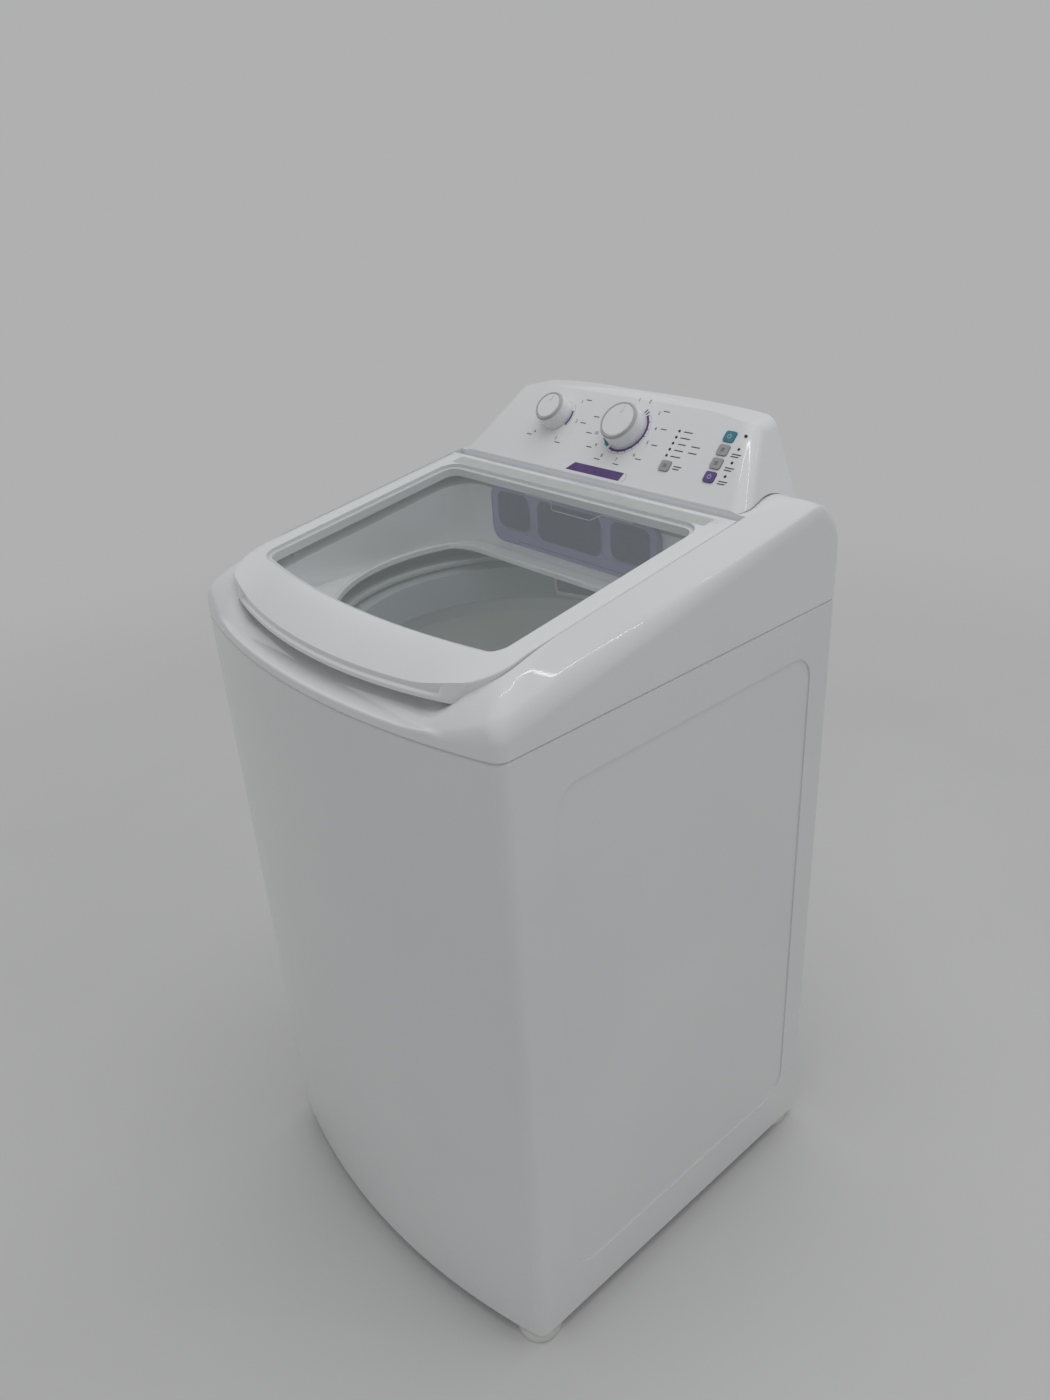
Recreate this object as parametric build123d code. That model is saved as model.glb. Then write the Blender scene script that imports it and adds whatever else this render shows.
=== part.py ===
from build123d import *
import os
from math import asin, atan2, cos, degrees, hypot, radians, sin, sqrt, tan

# Cabinet: bowed front, flat sides, millimetres, front towards -Y, floor at z = 0
WIDTH = 540.0
SIDE_DEPTH = 514.0
FRONT_BOW = 42.0
PORT_REACH = 18.0
FOOT_HEIGHT = 18.0
SEAM_HEIGHT = 830.0
SHEET = 1.0
FRONT_CORNER = 16.0
REAR_CORNER = 8.0
REAR_FLANGE = 24.0
PRESSING_DEPTH = 1.6
PRESSING_CORNER = 34.0
PRESSING_FRONT = 62.0
PRESSING_REAR = 42.0
PRESSING_TOP = 52.0
PRESSING_FOOT = 66.0

# Clearances shared by all fits
SEAT_GAP = 0.2
CLEAR = 0.4
RUN_FIT = 0.05

# Back panel and base
PANEL_OVERLAP = 16.0
PANEL_PRESSING = 2.0
PANEL_BORDER = 70.0
PANEL_SCREW_RADIUS = 2.0
PANEL_SCREW_HEAD = 4.5
PANEL_SCREW_HEAD_HEIGHT = 2.4
PANEL_SCREW_LENGTH = 9.0
BASE_HEIGHT = 40.0
BASE_WALL = 4.0
BASE_BORDER = 92.0
FOOT_RADIUS = 24.0
FOOT_INSET = 27.0
FOOT_PAD = 15.0
FOOT_ROUND = 6.0
STUD_RADIUS = 6.0
STUD_LENGTH = 40.0
BOSS_WALL = 7.0

# Top cover, heights measured up from the seam
COVER_WALL = 3.0
DECK_RISE = 104.6
LID_SLOPE = 8.77
CREST_RISE = 78.2
CREST_SLOPE = 10.76
CREST_ROUND = 14.0
SHOULDER = 35.0
REAR_ROLL = 80.0
ROUND_OVERRUN = 0.6
FRONT_ROLL = 110.0
FRONT_ROLL_SETBACK = 112.0
LEDGE_RISE = 18.0
LEDGE_LIFT = 7.0
LEDGE_DEPTH = 80.0
LEDGE_EDGE = 7.0
SCOOP_MARGIN = 40.0
SCOOP_CORNER = 46.0
WELL_RISE = 15.0
WELL_MARGIN = 27.0
WELL_CORNER = 60.0
WELL_FRONT_SETBACK = 92.0
OPENING_MARGIN = 4.0
OPENING_SETBACK = 21.0

# Lid
LID_GAP = 1.5
LID_THICK = 14.0
LIP_THICK = 8.0
LIP_SETBACK = 22.0
LIP_RISE = 14.0
CREASE_SETBACK = 28.0
CREASE_RISE = 24.0
BEND_SETBACK = 74.0
LID_FRONT_RADIUS = 722.0
LID_CORNER = 60.0
POCKET_DEPTH = 28.0
PIVOT_DROP = 13.0
PIN_RADIUS = 4.0
PIN_GRIP = 22.0
PIN_REACH = 9.0
KNUCKLE_LENGTH = 70.0
RAIL = 24.0
REAR_RAIL = 22.0
WINDOW_FRONT_RADIUS = 1060.0
WINDOW_CORNER = 22.0
WINDOW_LEDGE = 6.0
GLASS = 4.0
RIB = 3.0
RIB_DROP = 11.0
BUMPER_RADIUS = 6.0

# Console
CONSOLE_DEPTH = 132.0
CONSOLE_LIP = 2.4
FACE_TILT = 46.0
FACE_LENGTH = 110.0
CONSOLE_WALL = 3.0
CONSOLE_CROWN = 17.0
CONSOLE_TOP_DEPTH = 38.0
CONSOLE_TOP_RISE = 5.0
CONSOLE_REAR_DROP = 3.0
CONSOLE_SIDE_ROUND = 20.0
CONSOLE_SIDE_LEAN = 21.0
CONSOLE_SIDE_TOE = 10.0

# Controls, placed on the console face by distance in from the lid's edge and up the slope
PROGRAM_KNOB = (22.0, 69.0)
PROGRAM_KNOB_RADIUS = 27.0
LEVEL_KNOB_INSET = 137.0
LEVEL_KNOB_UP = 71.0
LEVEL_KNOB_RADIUS = 22.0
KNOB_HEIGHT = 22.0
KNOB_BEVEL = 3.5
KNOB_STEM = 3.0
KNOB_NIB = 2.4
KNOB_NIB_STAND = 0.8
BUTTON_WIDE = 14.0
BUTTON_TALL = 13.0
BUTTON_CORNER = 2.6
BUTTON_STAND = 1.6
BUTTON_TRAVEL = 1.2
BUTTON_FLANGE = 1.5
BUTTON_INSETS = {
    "start_button": (67.0, 83.0),
    "agitation_button": (66.5, 66.0),
    "spin_button": (66.0, 49.0),
    "reuse_button": (65.5, 32.0),
    "skip_button": (131.0, 34.0),
}
LAMP_RADIUS = 1.5
LAMP_STAND = 0.4
STATUS_LAMP_INSET = 137.0
STATUS_LAMP_PITCH = 8.0
STATUS_LAMP_LOW = 47.0
STATUS_LAMPS = 5
BUTTON_LAMP_OFFSET = (18.5, 4.5)
BOARD_DROP = 14.0
BOARD_THICK = 1.6
BOARD_MARGIN = 24.0
POST_RADIUS = 3.0
SELECTOR_RADIUS = 19.0
SELECTOR_DEPTH = 16.0

# Dispenser
DRAWER_INSET = 65.0
DRAWER_SETBACK = 31.0
DRAWER_PANEL = 6.0
DRAWER_HEIGHT = 74.0
DRAWER_TOP_DROP = 18.0
DRAWER_CORNER = 18.0
DRAWER_WALL = 2.0
DRAWER_DEPTH = 84.0
DRAWER_TRAY_DROP = 14.0
DRAWER_TRAY_LIFT = 7.0
DRAWER_TRAY_INSET = 10.0
DRAWER_WINDOWS = 3
WINDOW_RELIEF = 1.2
HOUSING_WALL = 2.5
HOUSING_BACK_GAP = 6.0

# Water inlet and fill hose
PORT_INSET = 100.0
PORT_RISE = 32.0
PORT_RADIUS = 13.2
PORT_BORE = 8.0
PORT_COLLAR = 3.0
VALVE_BODY = 40.0
HOSE_RADIUS = 8.0
HOSE_WALL = 2.0

# Tub, basket and agitator
TUB_GAP = 18.5
TUB_FORWARD = 7.0
TUB_WALL = 3.0
TUB_BOTTOM = 215.0
TUB_TOP_DROP = 16.0
TUB_RING_WIDE = 39.0
TUB_RING_HEIGHT = 8.0
BASKET_GAP = 31.0
BASKET_WALL = 2.0
BASKET_BOTTOM = 250.0
BASKET_TOP_DROP = 92.0
BASKET_HOLE = 3.0
BASKET_HOLE_COLUMNS = 24
BASKET_HOLE_ROWS = 5
RIM_HEIGHT = 30.0
RIM_STEPS = 3
RIM_STEP = 7.0
BALANCE_GAP = 23.0
BALANCE_WIDE = 36.0
BALANCE_TAPER = 6.0
BALANCE_HEIGHT = 42.0
BALANCE_WALL = 3.0
HUB_RADIUS = 72.0
HUB_HEIGHT = 20.0
SPIN_TUBE_RADIUS = 17.0
SHAFT_RADIUS = 10.0
BEARING_RADIUS = 28.0
BEARING_HEIGHT = 16.0
SEAL_HEIGHT = 8.0
TUB_HUB_HEIGHT = 13.0
TUB_HUB_WALL = 6.0
AGITATOR_GAP = 64.0
AGITATOR_POST = 46.0
AGITATOR_TIP = 38.0
AGITATOR_HEIGHT = 310.0
AGITATOR_SKIRT = 16.0
AGITATOR_WALL = 4.0
FIN_COUNT = 4
FIN_THICK = 8.0
FIN_SETBACK = 18.0
FIN_HEIGHT = 70.0
CAP_HEIGHT = 14.0
BOLT_RADIUS = 4.0
BOLT_HEAD = 8.0
BOLT_HEAD_HEIGHT = 6.0
FILTER_ANGLE = 109.0
FILTER_WIDE = 78.0
FILTER_TALL = 34.0
FILTER_DEEP = 12.0

# Drive under the tub
BRACKET_THICK = 5.0
BRACKET_INSET = 40.0
BRACKET_HALF_DEEP = 95.0
GEAR_CASE_RADIUS = 66.0
GEAR_CASE_HEIGHT = 84.0
GEAR_CASE_WALL = 6.0
MOTOR_INSET = 105.0
MOTOR_RADIUS = 58.0
MOTOR_HEIGHT = 80.0
MOTOR_SHAFT = 6.0
BIG_PULLEY = 68.0
SMALL_PULLEY = 19.0
PULLEY_WIDTH = 14.0
PULLEY_DROP = 16.0
PULLEY_HOLES = 6
PULLEY_HOLE_CIRCLE = 41.0
BELT_THICK = 5.0
BELT_WIDTH = 9.0
PULLEY_GROOVE = 4.0
INPUT_SHAFT = 8.0
CAPACITOR_RADIUS = 20.0
CAPACITOR_HEIGHT = 70.0
CAPACITOR_PLACE = (60.0, -70.0)

# Drain
PUMP_INSET = 105.0
PUMP_Y_OFFSET = 60.0
PUMP_RADIUS = 42.0
PUMP_HEIGHT = 66.0
PUMP_WALL = 4.0
IMPELLER_RADIUS = 26.0
IMPELLER_HEIGHT = 14.0
IMPELLER_BLADES = 4
IMPELLER_SHAFT = 3.0
SPIGOT_RADIUS = 11.0
SPIGOT_BORE = 8.5
OUTLET_FLANGE = 24.0
GLAND_RADIUS = 10.0
GLAND_BORE = 4.5
GLAND_INSET = 80.0
GLAND_HEIGHT = 120.0

# Suspension
ROD_INSET = 36.0
ROD_RADIUS = 4.0
ROD_HEAD = 9.0
ROD_HEAD_HEIGHT = 8.0
ROD_LENGTH = 470.0
ROD_HOLE_GAP = 1.5
BRACKET_DROP = 30.0
CORNER_BRACKET = 62.0
CORNER_BRACKET_THICK = 4.0
CUP_RADIUS = 17.0
CUP_HEIGHT = 12.0
SPRING_RADIUS = 13.0
SPRING_WALL = 3.0
LUG_THICK = 14.0
LUG_WIDE = 36.0
SPRING_LENGTH = 70.0

# Places worked out from the sizes above
HALF_WIDTH = WIDTH / 2
FRONT_Y = -(SIDE_DEPTH + FRONT_BOW + PORT_REACH) / 2
CORNER_Y = FRONT_Y + FRONT_BOW
BACK_Y = CORNER_Y + SIDE_DEPTH
BOW_RADIUS = (HALF_WIDTH**2 + FRONT_BOW**2) / (2 * FRONT_BOW)
BOW_CENTRE_Y = FRONT_Y + BOW_RADIUS
DECK_HEIGHT = SEAM_HEIGHT + DECK_RISE
CREST_HEIGHT = SEAM_HEIGHT + CREST_RISE
LEDGE_HEIGHT = SEAM_HEIGHT + LEDGE_RISE
WELL_FLOOR = SEAM_HEIGHT + WELL_RISE
LID_HALF = HALF_WIDTH - SHOULDER
WELL_HALF = LID_HALF - WELL_MARGIN
OPENING_RADIUS = WELL_HALF - OPENING_MARGIN
SKY = DECK_HEIGHT + WIDTH
CONSOLE_Y = BACK_Y - CONSOLE_DEPTH
LEVEL_KNOB = (LEVEL_KNOB_INSET - LID_HALF, LEVEL_KNOB_UP)
BUTTON_PLACES = {name: (LID_HALF - inset, up) for name, (inset, up) in BUTTON_INSETS.items()}
STATUS_LAMP_X = LID_HALF - STATUS_LAMP_INSET
DRAWER_HALF = WELL_HALF - DRAWER_INSET
DRAWER_Y = CONSOLE_Y - DRAWER_SETBACK
PORT_X = PORT_INSET - HALF_WIDTH
GLAND_X = HALF_WIDTH - GLAND_INSET
WELL_FRONT_Y = FRONT_Y + WELL_FRONT_SETBACK
WELL_BACK_Y = DRAWER_Y + DRAWER_PANEL + CLEAR
TUB_Y = (CORNER_Y + BACK_Y) / 2 - TUB_FORWARD
TUB_RADIUS = (WIDTH + SIDE_DEPTH) / 4 - TUB_GAP
TUB_TOP = SEAM_HEIGHT - TUB_TOP_DROP
TUB_RING_BORE = TUB_RADIUS - TUB_RING_WIDE
BASKET_RADIUS = TUB_RADIUS - BASKET_GAP
BALANCE_RADIUS = TUB_RADIUS - BALANCE_GAP
BALANCE_BORE = BALANCE_RADIUS - BALANCE_WIDE
AGITATOR_RADIUS = BASKET_RADIUS - AGITATOR_GAP
FIN_REACH = AGITATOR_RADIUS - FIN_SETBACK
BRACKET_HALF_WIDE = TUB_RADIUS - BRACKET_INSET
MOTOR_X = TUB_RADIUS - MOTOR_INSET
BASKET_TOP = SEAM_HEIGHT - BASKET_TOP_DROP
BALANCE_BOTTOM = BASKET_TOP + RIM_HEIGHT
BALANCE_TOP = BALANCE_BOTTOM + BALANCE_HEIGHT
DRIVE_TOP = TUB_BOTTOM - BRACKET_THICK
PULLEY_TOP = DRIVE_TOP - GEAR_CASE_HEIGHT - PULLEY_DROP + PULLEY_WIDTH
PUMP_X = PUMP_INSET - TUB_RADIUS
PUMP_Y = TUB_Y + PUMP_Y_OFFSET
FOOT_X = HALF_WIDTH - FOOT_INSET
FOOT_FRONT_Y = CORNER_Y + FOOT_INSET
FOOT_REAR_Y = BACK_Y - FOOT_INSET
ROD_X = HALF_WIDTH - ROD_INSET
ROD_PLACES = [(sx * ROD_X, y) for y in (CORNER_Y + ROD_INSET, BACK_Y - ROD_INSET) for sx in (-1, 1)]
HANGER_HEIGHT = SEAM_HEIGHT - BRACKET_DROP
ROD_FOOT = HANGER_HEIGHT - ROD_LENGTH
LUG_LOW = ROD_FOOT + CUP_HEIGHT + SPRING_LENGTH
LID_TURN = radians(LID_SLOPE)
LID_PLANE = Plane(
    origin=(0, 0, DECK_HEIGHT),
    x_dir=(1, 0, 0),
    z_dir=(0, -sin(LID_TURN), cos(LID_TURN)),
)
CONSOLE_EDGE = DECK_HEIGHT + tan(LID_TURN) * CONSOLE_Y + CONSOLE_LIP
FACE_TURN = radians(FACE_TILT)
FACE_PLANE = Plane(
    origin=(0, CONSOLE_Y, CONSOLE_EDGE),
    x_dir=(1, 0, 0),
    z_dir=(0, -sin(FACE_TURN), cos(FACE_TURN)),
)


# Shared shapes


def prism(face, low, high):
    """A flat face drawn at z = 0, raised between two heights."""
    return extrude(Pos(0, 0, low) * face, amount=high - low, dir=(0, 0, 1))


def side_prism(face, half):
    """A face drawn with y and z as its two axes, spread to both sides of x = 0."""
    return extrude(Plane.YZ * face, amount=half, both=True)


def block(x0, x1, y0, y1, z0, z1):
    """A plain box between two corners."""
    return Pos((x0 + x1) / 2, (y0 + y1) / 2, (z0 + z1) / 2) * Box(x1 - x0, y1 - y0, z1 - z0)


def rod(radius, low, high, x=0.0, y=0.0):
    """An upright cylinder between two heights."""
    return Pos(x, y, (low + high) / 2) * Cylinder(radius, high - low)


def tube(outer, inner, low, high, x=0.0, y=0.0):
    """An upright pipe between two heights."""
    return rod(outer, low, high, x, y) - rod(inner, low, high, x, y)


def lying(radius, start, end, x, z):
    """A cylinder along Y."""
    return Pos(x, (start + end) / 2, z) * Rot(90, 0, 0) * Cylinder(radius, end - start)


def across(radius, start, end, y, z):
    """A cylinder along X."""
    return Pos((start + end) / 2, y, z) * Rot(0, 90, 0) * Cylinder(radius, end - start)


def turned(points, y=0.0):
    """A body of revolution about an upright axis, from (radius, height) points."""
    face = make_face(Polyline(*points, close=True))
    return Pos(0, y, 0) * revolve(Plane.XZ * face, Axis.Z)


def pair(solid):
    """A solid and its mirror image across the middle plane."""
    return Part() + [solid, mirror(solid, Plane.YZ)]


def plan_face(inset):
    """The machine's plan outline, drawn in by an inset."""
    half = HALF_WIDTH - inset
    bow = BOW_RADIUS - inset
    corner_y = BOW_CENTRE_Y - sqrt(bow**2 - half**2)
    back_y = BACK_Y - inset
    rails = Polyline((-half, corner_y), (-half, back_y), (half, back_y), (half, corner_y))
    front = ThreePointArc((half, corner_y), (0, BOW_CENTRE_Y - bow), (-half, corner_y))
    face = make_face(rails + front)
    face = fillet(face.vertices().sort_by(Axis.Y)[:2], FRONT_CORNER - inset)
    return fillet(face.vertices().sort_by(Axis.Y)[-2:], REAR_CORNER - inset)


def deck_height(y):
    """Height of the lid plane at a depth."""
    return DECK_HEIGHT + tan(LID_TURN) * y


# Cabinet, back and base


def make_cabinet_shell():
    wrap = prism(plan_face(0), FOOT_HEIGHT, SEAM_HEIGHT)
    wrap -= prism(plan_face(SHEET), FOOT_HEIGHT, SEAM_HEIGHT)
    window = block(
        REAR_FLANGE - HALF_WIDTH, HALF_WIDTH - REAR_FLANGE,
        BACK_Y - 2 * SHEET, BACK_Y + SHEET,
        FOOT_HEIGHT + REAR_FLANGE, SEAM_HEIGHT - REAR_FLANGE,
    )
    wrap -= window
    low = FOOT_HEIGHT + PRESSING_FOOT
    high = SEAM_HEIGHT - PRESSING_TOP
    front = CORNER_Y + PRESSING_FRONT
    back = BACK_Y - PRESSING_REAR
    centre = Pos((front + back) / 2, (low + high) / 2)
    dent = Plane.YZ * centre * RectangleRounded(back - front, high - low, PRESSING_CORNER)
    bump = Plane.YZ * centre * RectangleRounded(
        back - front + 2 * SHEET, high - low + 2 * SHEET, PRESSING_CORNER + SHEET
    )
    inner = HALF_WIDTH - SHEET - PRESSING_DEPTH
    wrap += pair(extrude(Pos(inner, 0, 0) * bump, amount=PRESSING_DEPTH, dir=(1, 0, 0)))
    wrap -= pair(extrude(Pos(inner + SHEET, 0, 0) * dent, amount=PRESSING_DEPTH, dir=(1, 0, 0)))
    for x, z in panel_screw_places():
        wrap -= lying(PANEL_SCREW_RADIUS + CLEAR, BACK_Y - 2 * SHEET, BACK_Y + SHEET, x, z)
    return wrap


def panel_edges():
    """Half width, lowest and highest edge of the back panel."""
    half = HALF_WIDTH - REAR_FLANGE + PANEL_OVERLAP
    low = FOOT_HEIGHT + REAR_FLANGE - PANEL_OVERLAP
    return half, low, SEAM_HEIGHT - REAR_FLANGE + PANEL_OVERLAP


def panel_screw_places():
    half, low, high = panel_edges()
    inset = PANEL_OVERLAP / 2
    heights = [low + inset, (low + high) / 2, high - inset]
    return [(sx * (half - inset), z) for sx in (-1, 1) for z in heights]


def outlet_height():
    return DRIVE_TOP - PUMP_HEIGHT / 2


def make_back_panel():
    half, low, high = panel_edges()
    plate = block(-half, half, BACK_Y, BACK_Y + SHEET, low, high)
    wide = 2 * (half - PANEL_BORDER)
    tall = high - low - 2 * PANEL_BORDER - GLAND_HEIGHT
    middle = high - PANEL_BORDER - tall / 2
    plane = Plane(origin=(0, BACK_Y - PANEL_PRESSING, middle), x_dir=(1, 0, 0), z_dir=(0, -1, 0))
    bump = RectangleRounded(wide + 2 * SHEET, tall + 2 * SHEET, PRESSING_CORNER + SHEET)
    plate += extrude(plane * bump, amount=PANEL_PRESSING, dir=(0, 1, 0))
    dent = RectangleRounded(wide, tall, PRESSING_CORNER)
    plate -= extrude(plane * Pos(0, 0, -SHEET) * dent, amount=PANEL_PRESSING, dir=(0, 1, 0))
    for x, z in panel_screw_places():
        plate -= lying(PANEL_SCREW_RADIUS + CLEAR, BACK_Y - SHEET, BACK_Y + 2 * SHEET, x, z)
    plate -= lying(SPIGOT_RADIUS + CLEAR, BACK_Y - SHEET, BACK_Y + 2 * SHEET, PUMP_X, outlet_height())
    plate -= lying(GLAND_RADIUS + CLEAR, BACK_Y - SHEET, BACK_Y + 2 * SHEET, GLAND_X, GLAND_HEIGHT)
    return plate


def make_back_panel_screws():
    outer = BACK_Y + SHEET
    screws = Part()
    for x, z in panel_screw_places():
        head = lying(PANEL_SCREW_HEAD, outer, outer + PANEL_SCREW_HEAD_HEIGHT, x, z)
        screws += head + lying(PANEL_SCREW_RADIUS, outer - PANEL_SCREW_LENGTH, outer, x, z)
    return screws


def boss_places():
    return [(sx * FOOT_X, y) for y in (FOOT_FRONT_Y, FOOT_REAR_Y) for sx in (-1, 1)]


def make_base_frame():
    top = FOOT_HEIGHT + BASE_HEIGHT
    gap = SHEET + SEAT_GAP
    wall = prism(plan_face(gap), FOOT_HEIGHT, top) - prism(plan_face(gap + BASE_WALL), FOOT_HEIGHT, top)
    floor = prism(plan_face(gap), FOOT_HEIGHT, FOOT_HEIGHT + BASE_WALL)
    floor -= block(
        BASE_BORDER - HALF_WIDTH, HALF_WIDTH - BASE_BORDER,
        CORNER_Y + BASE_BORDER, BACK_Y - BASE_BORDER,
        FOOT_HEIGHT - BASE_WALL, top,
    )
    frame = wall + floor
    inside = prism(plan_face(gap), FOOT_HEIGHT, top)
    for x, y in boss_places():
        frame += rod(STUD_RADIUS + BOSS_WALL, FOOT_HEIGHT, top, x, y) & inside
    for x, y in boss_places():
        frame -= rod(STUD_RADIUS + RUN_FIT, FOOT_HEIGHT - BASE_WALL, top + BASE_WALL, x, y)
    for x, z in panel_screw_places():
        frame -= lying(PANEL_SCREW_RADIUS + SEAT_GAP, BACK_Y - FOOT_RADIUS, BACK_Y, x, z)
    return frame


def make_foot(x, y):
    """A moulded foot: a rounded pad that carries the base, and a stud up the boss."""
    pad = rod(FOOT_RADIUS, 0, FOOT_PAD, x, y)
    pad = fillet(pad.edges().group_by(Axis.Z)[-1], FOOT_ROUND)
    pad = chamfer(pad.edges().group_by(Axis.Z)[0], FOOT_ROUND / 4)
    collar = rod(STUD_RADIUS + BOSS_WALL, FOOT_PAD - FOOT_ROUND, FOOT_HEIGHT, x, y)
    return pad + collar + rod(STUD_RADIUS, FOOT_PAD - FOOT_ROUND, FOOT_HEIGHT + STUD_LENGTH, x, y)


# Top cover


def cover_section(y, inset):
    """Cross-section of the cover: upright sides, sloping shoulders, flat deck."""
    half = HALF_WIDTH + ROUND_OVERRUN - inset
    deck_half = LID_HALF + LID_GAP
    crest = CREST_HEIGHT + tan(radians(CREST_SLOPE)) * y - inset
    deck = deck_height(y) - inset
    low = SEAM_HEIGHT
    points = [(-half, low), (half, low), (half, crest), (deck_half, deck), (-deck_half, deck), (-half, crest)]
    face = make_face(Polyline(*points, close=True))
    edges = [v for v in face.vertices() if abs(abs(v.X) - half) < CLEAR and v.Y > low + CLEAR]
    plane = Plane(origin=(0, y, 0), x_dir=(1, 0, 0), z_dir=(0, -1, 0))
    return plane * fillet(edges, CREST_ROUND - inset)


def roll_arc(y, radius, inset, towards):
    """Round-over tangent to the deck at a depth: its start, middle and end, front or back."""
    centre = (y + radius * sin(LID_TURN), deck_height(y) - radius * cos(LID_TURN))
    reach = radius - inset
    last = radians(90) - towards * radians(90)
    first = radians(90) + LID_TURN
    angles = [first, (first + last) / 2, last]
    return [(centre[0] + reach * cos(a), centre[1] + reach * sin(a)) for a in angles]


def cover_form(inset):
    """The outer bulk of the cover, drawn in by an inset and open to nothing."""
    front = FRONT_Y - FRONT_BOW
    back = BACK_Y + FRONT_BOW
    bulk = loft([cover_section(front, inset), cover_section(back, inset)], ruled=True)
    bulk &= prism(plan_face(inset), SEAM_HEIGHT - WIDTH, SKY)
    rear_y = BACK_Y + ROUND_OVERRUN - REAR_ROLL * (1 + sin(LID_TURN))
    rear = roll_arc(rear_y, REAR_ROLL, inset, 1)
    nose = roll_arc(FRONT_Y + FRONT_ROLL_SETBACK, FRONT_ROLL, inset, -1)
    rails = Polyline(nose[-1], (nose[-1][0], SEAM_HEIGHT), (rear[-1][0], SEAM_HEIGHT), rear[-1])
    face = make_face(rails + ThreePointArc(*rear) + Line(rear[0], nose[0]) + ThreePointArc(*nose))
    ledge = LEDGE_HEIGHT + LEDGE_LIFT - inset
    shelf = block(-WIDTH, WIDTH, front, FRONT_Y + LEDGE_DEPTH, SEAM_HEIGHT, ledge)
    return bulk & (side_prism(face, WIDTH) + shelf)


def to_lid(y, z):
    """A point of the middle plane, in the lid's own sloping frame."""
    rise = z - DECK_HEIGHT
    return y * cos(LID_TURN) + rise * sin(LID_TURN), rise * cos(LID_TURN) - y * sin(LID_TURN)


LIP_Y, LIP_Z = to_lid(FRONT_Y + LIP_SETBACK, LEDGE_HEIGHT + LIP_RISE)
CREASE_Y, CREASE_Z = to_lid(FRONT_Y + CREASE_SETBACK, LEDGE_HEIGHT + CREASE_RISE)
BEND_Y = to_lid(FRONT_Y + BEND_SETBACK, deck_height(FRONT_Y + BEND_SETBACK))[0]
LID_BACK = to_lid(CONSOLE_Y, deck_height(CONSOLE_Y))[0] - 2 * LID_GAP
PIVOT_BACK = LID_BACK - PIVOT_DROP
LID_CENTRE_Y = LIP_Y + LID_FRONT_RADIUS


def lid_face(gap, front, back, corner):
    """The lid's outline in its own plane, with a bowed front, grown by a gap."""
    half = LID_HALF + gap
    bow = LID_CENTRE_Y - front + gap
    corner_y = LID_CENTRE_Y - sqrt(bow**2 - half**2)
    rails = Polyline((-half, corner_y), (-half, back), (half, back), (half, corner_y))
    arc = ThreePointArc((half, corner_y), (0, LID_CENTRE_Y - bow), (-half, corner_y))
    face = make_face(rails + arc)
    return fillet(face.vertices().sort_by(Axis.Y)[:2], corner + gap) if corner else face


def on_lid(solid):
    return LID_PLANE.location * solid


def lid_pocket(wall, high):
    """The hollow that the lid lies in, grown by a wall."""
    face = lid_face(LID_GAP + wall, LIP_Y, LID_BACK + 2 * LID_GAP + wall, LID_CORNER)
    return on_lid(prism(face, -POCKET_DEPTH - wall, high))


def front_scoop(wall):
    """The hollow above the front ledge, grown by a wall; its edge follows the bowed front."""
    floor = LEDGE_HEIGHT - wall
    back = FRONT_Y + LEDGE_DEPTH + wall
    out = FRONT_Y - LEDGE_DEPTH
    edge = LEDGE_EDGE
    brink = FRONT_Y - ROUND_OVERRUN
    half_turn = radians(45)
    middle = (brink + edge - edge * sin(half_turn), floor - edge + edge * cos(half_turn))
    outline = Polyline(
        (brink, floor - edge), (out, floor - edge), (out, SKY), (back, SKY),
        (back, floor + LEDGE_LIFT), (brink + edge, floor),
    )
    face = make_face(outline + ThreePointArc((brink + edge, floor), middle, (brink, floor - edge)))
    turn = degrees(asin(HALF_WIDTH / BOW_RADIUS))
    axis = Axis((0, BOW_CENTRE_Y, 0), (0, 0, 1))
    sweep = revolve((Plane.YZ * face).rotate(axis, -turn), axis, 2 * turn)
    half = HALF_WIDTH - SCOOP_MARGIN + wall
    tall = SKY - floor + 2 * edge
    mouth = Pos(0, SKY - tall / 2) * RectangleRounded(2 * half, tall, SCOOP_CORNER + wall)
    plane = Plane(origin=(0, out - wall, 0), x_dir=(1, 0, 0), z_dir=(0, -1, 0))
    return sweep & extrude(plane * mouth, amount=back - out + 2 * FRONT_BOW, dir=(0, 1, 0))


def well_form(wall):
    """The hollow over the tub's mouth, grown by a wall."""
    half = WELL_HALF + wall
    front = WELL_FRONT_Y - wall
    back = WELL_BACK_Y + wall
    face = Pos(0, (front + back) / 2) * Rectangle(2 * half, back - front)
    face = fillet(face.vertices().sort_by(Axis.Y)[:2], WELL_CORNER + wall)
    below_lid = on_lid(block(-half, half, front - WIDTH, back + WIDTH, -WIDTH, LID_GAP - POCKET_DEPTH))
    return prism(face, WELL_FLOOR - wall, SKY) & below_lid


def pivot_place():
    """Lid pivot in the middle plane: depth and height."""
    point = LID_PLANE.from_local_coords(Vector(0, PIVOT_BACK, -PIVOT_DROP))
    return point.Y, point.Z


def drawer_mouth(gap):
    """The slot behind the well that the drawer's tray slides in, along the lid's slope."""
    half = DRAWER_HALF - DRAWER_TRAY_INSET + gap
    low, high = drawer_tray_heights()
    back = DRAWER_Y + DRAWER_PANEL + DRAWER_DEPTH + HOUSING_BACK_GAP + gap
    return sloped_block(half, DRAWER_Y - gap, back, low - gap, high + gap)


def sloped_block(half, front, back, low, high):
    """A box whose length follows the lid's slope; heights are those at the drawer's front."""
    rise = tan(LID_TURN)
    points = [
        (front, low + rise * (front - DRAWER_Y)), (back, low + rise * (back - DRAWER_Y)),
        (back, high + rise * (back - DRAWER_Y)), (front, high + rise * (front - DRAWER_Y)),
    ]
    return side_prism(make_face(Polyline(*points, close=True)), half)


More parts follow.
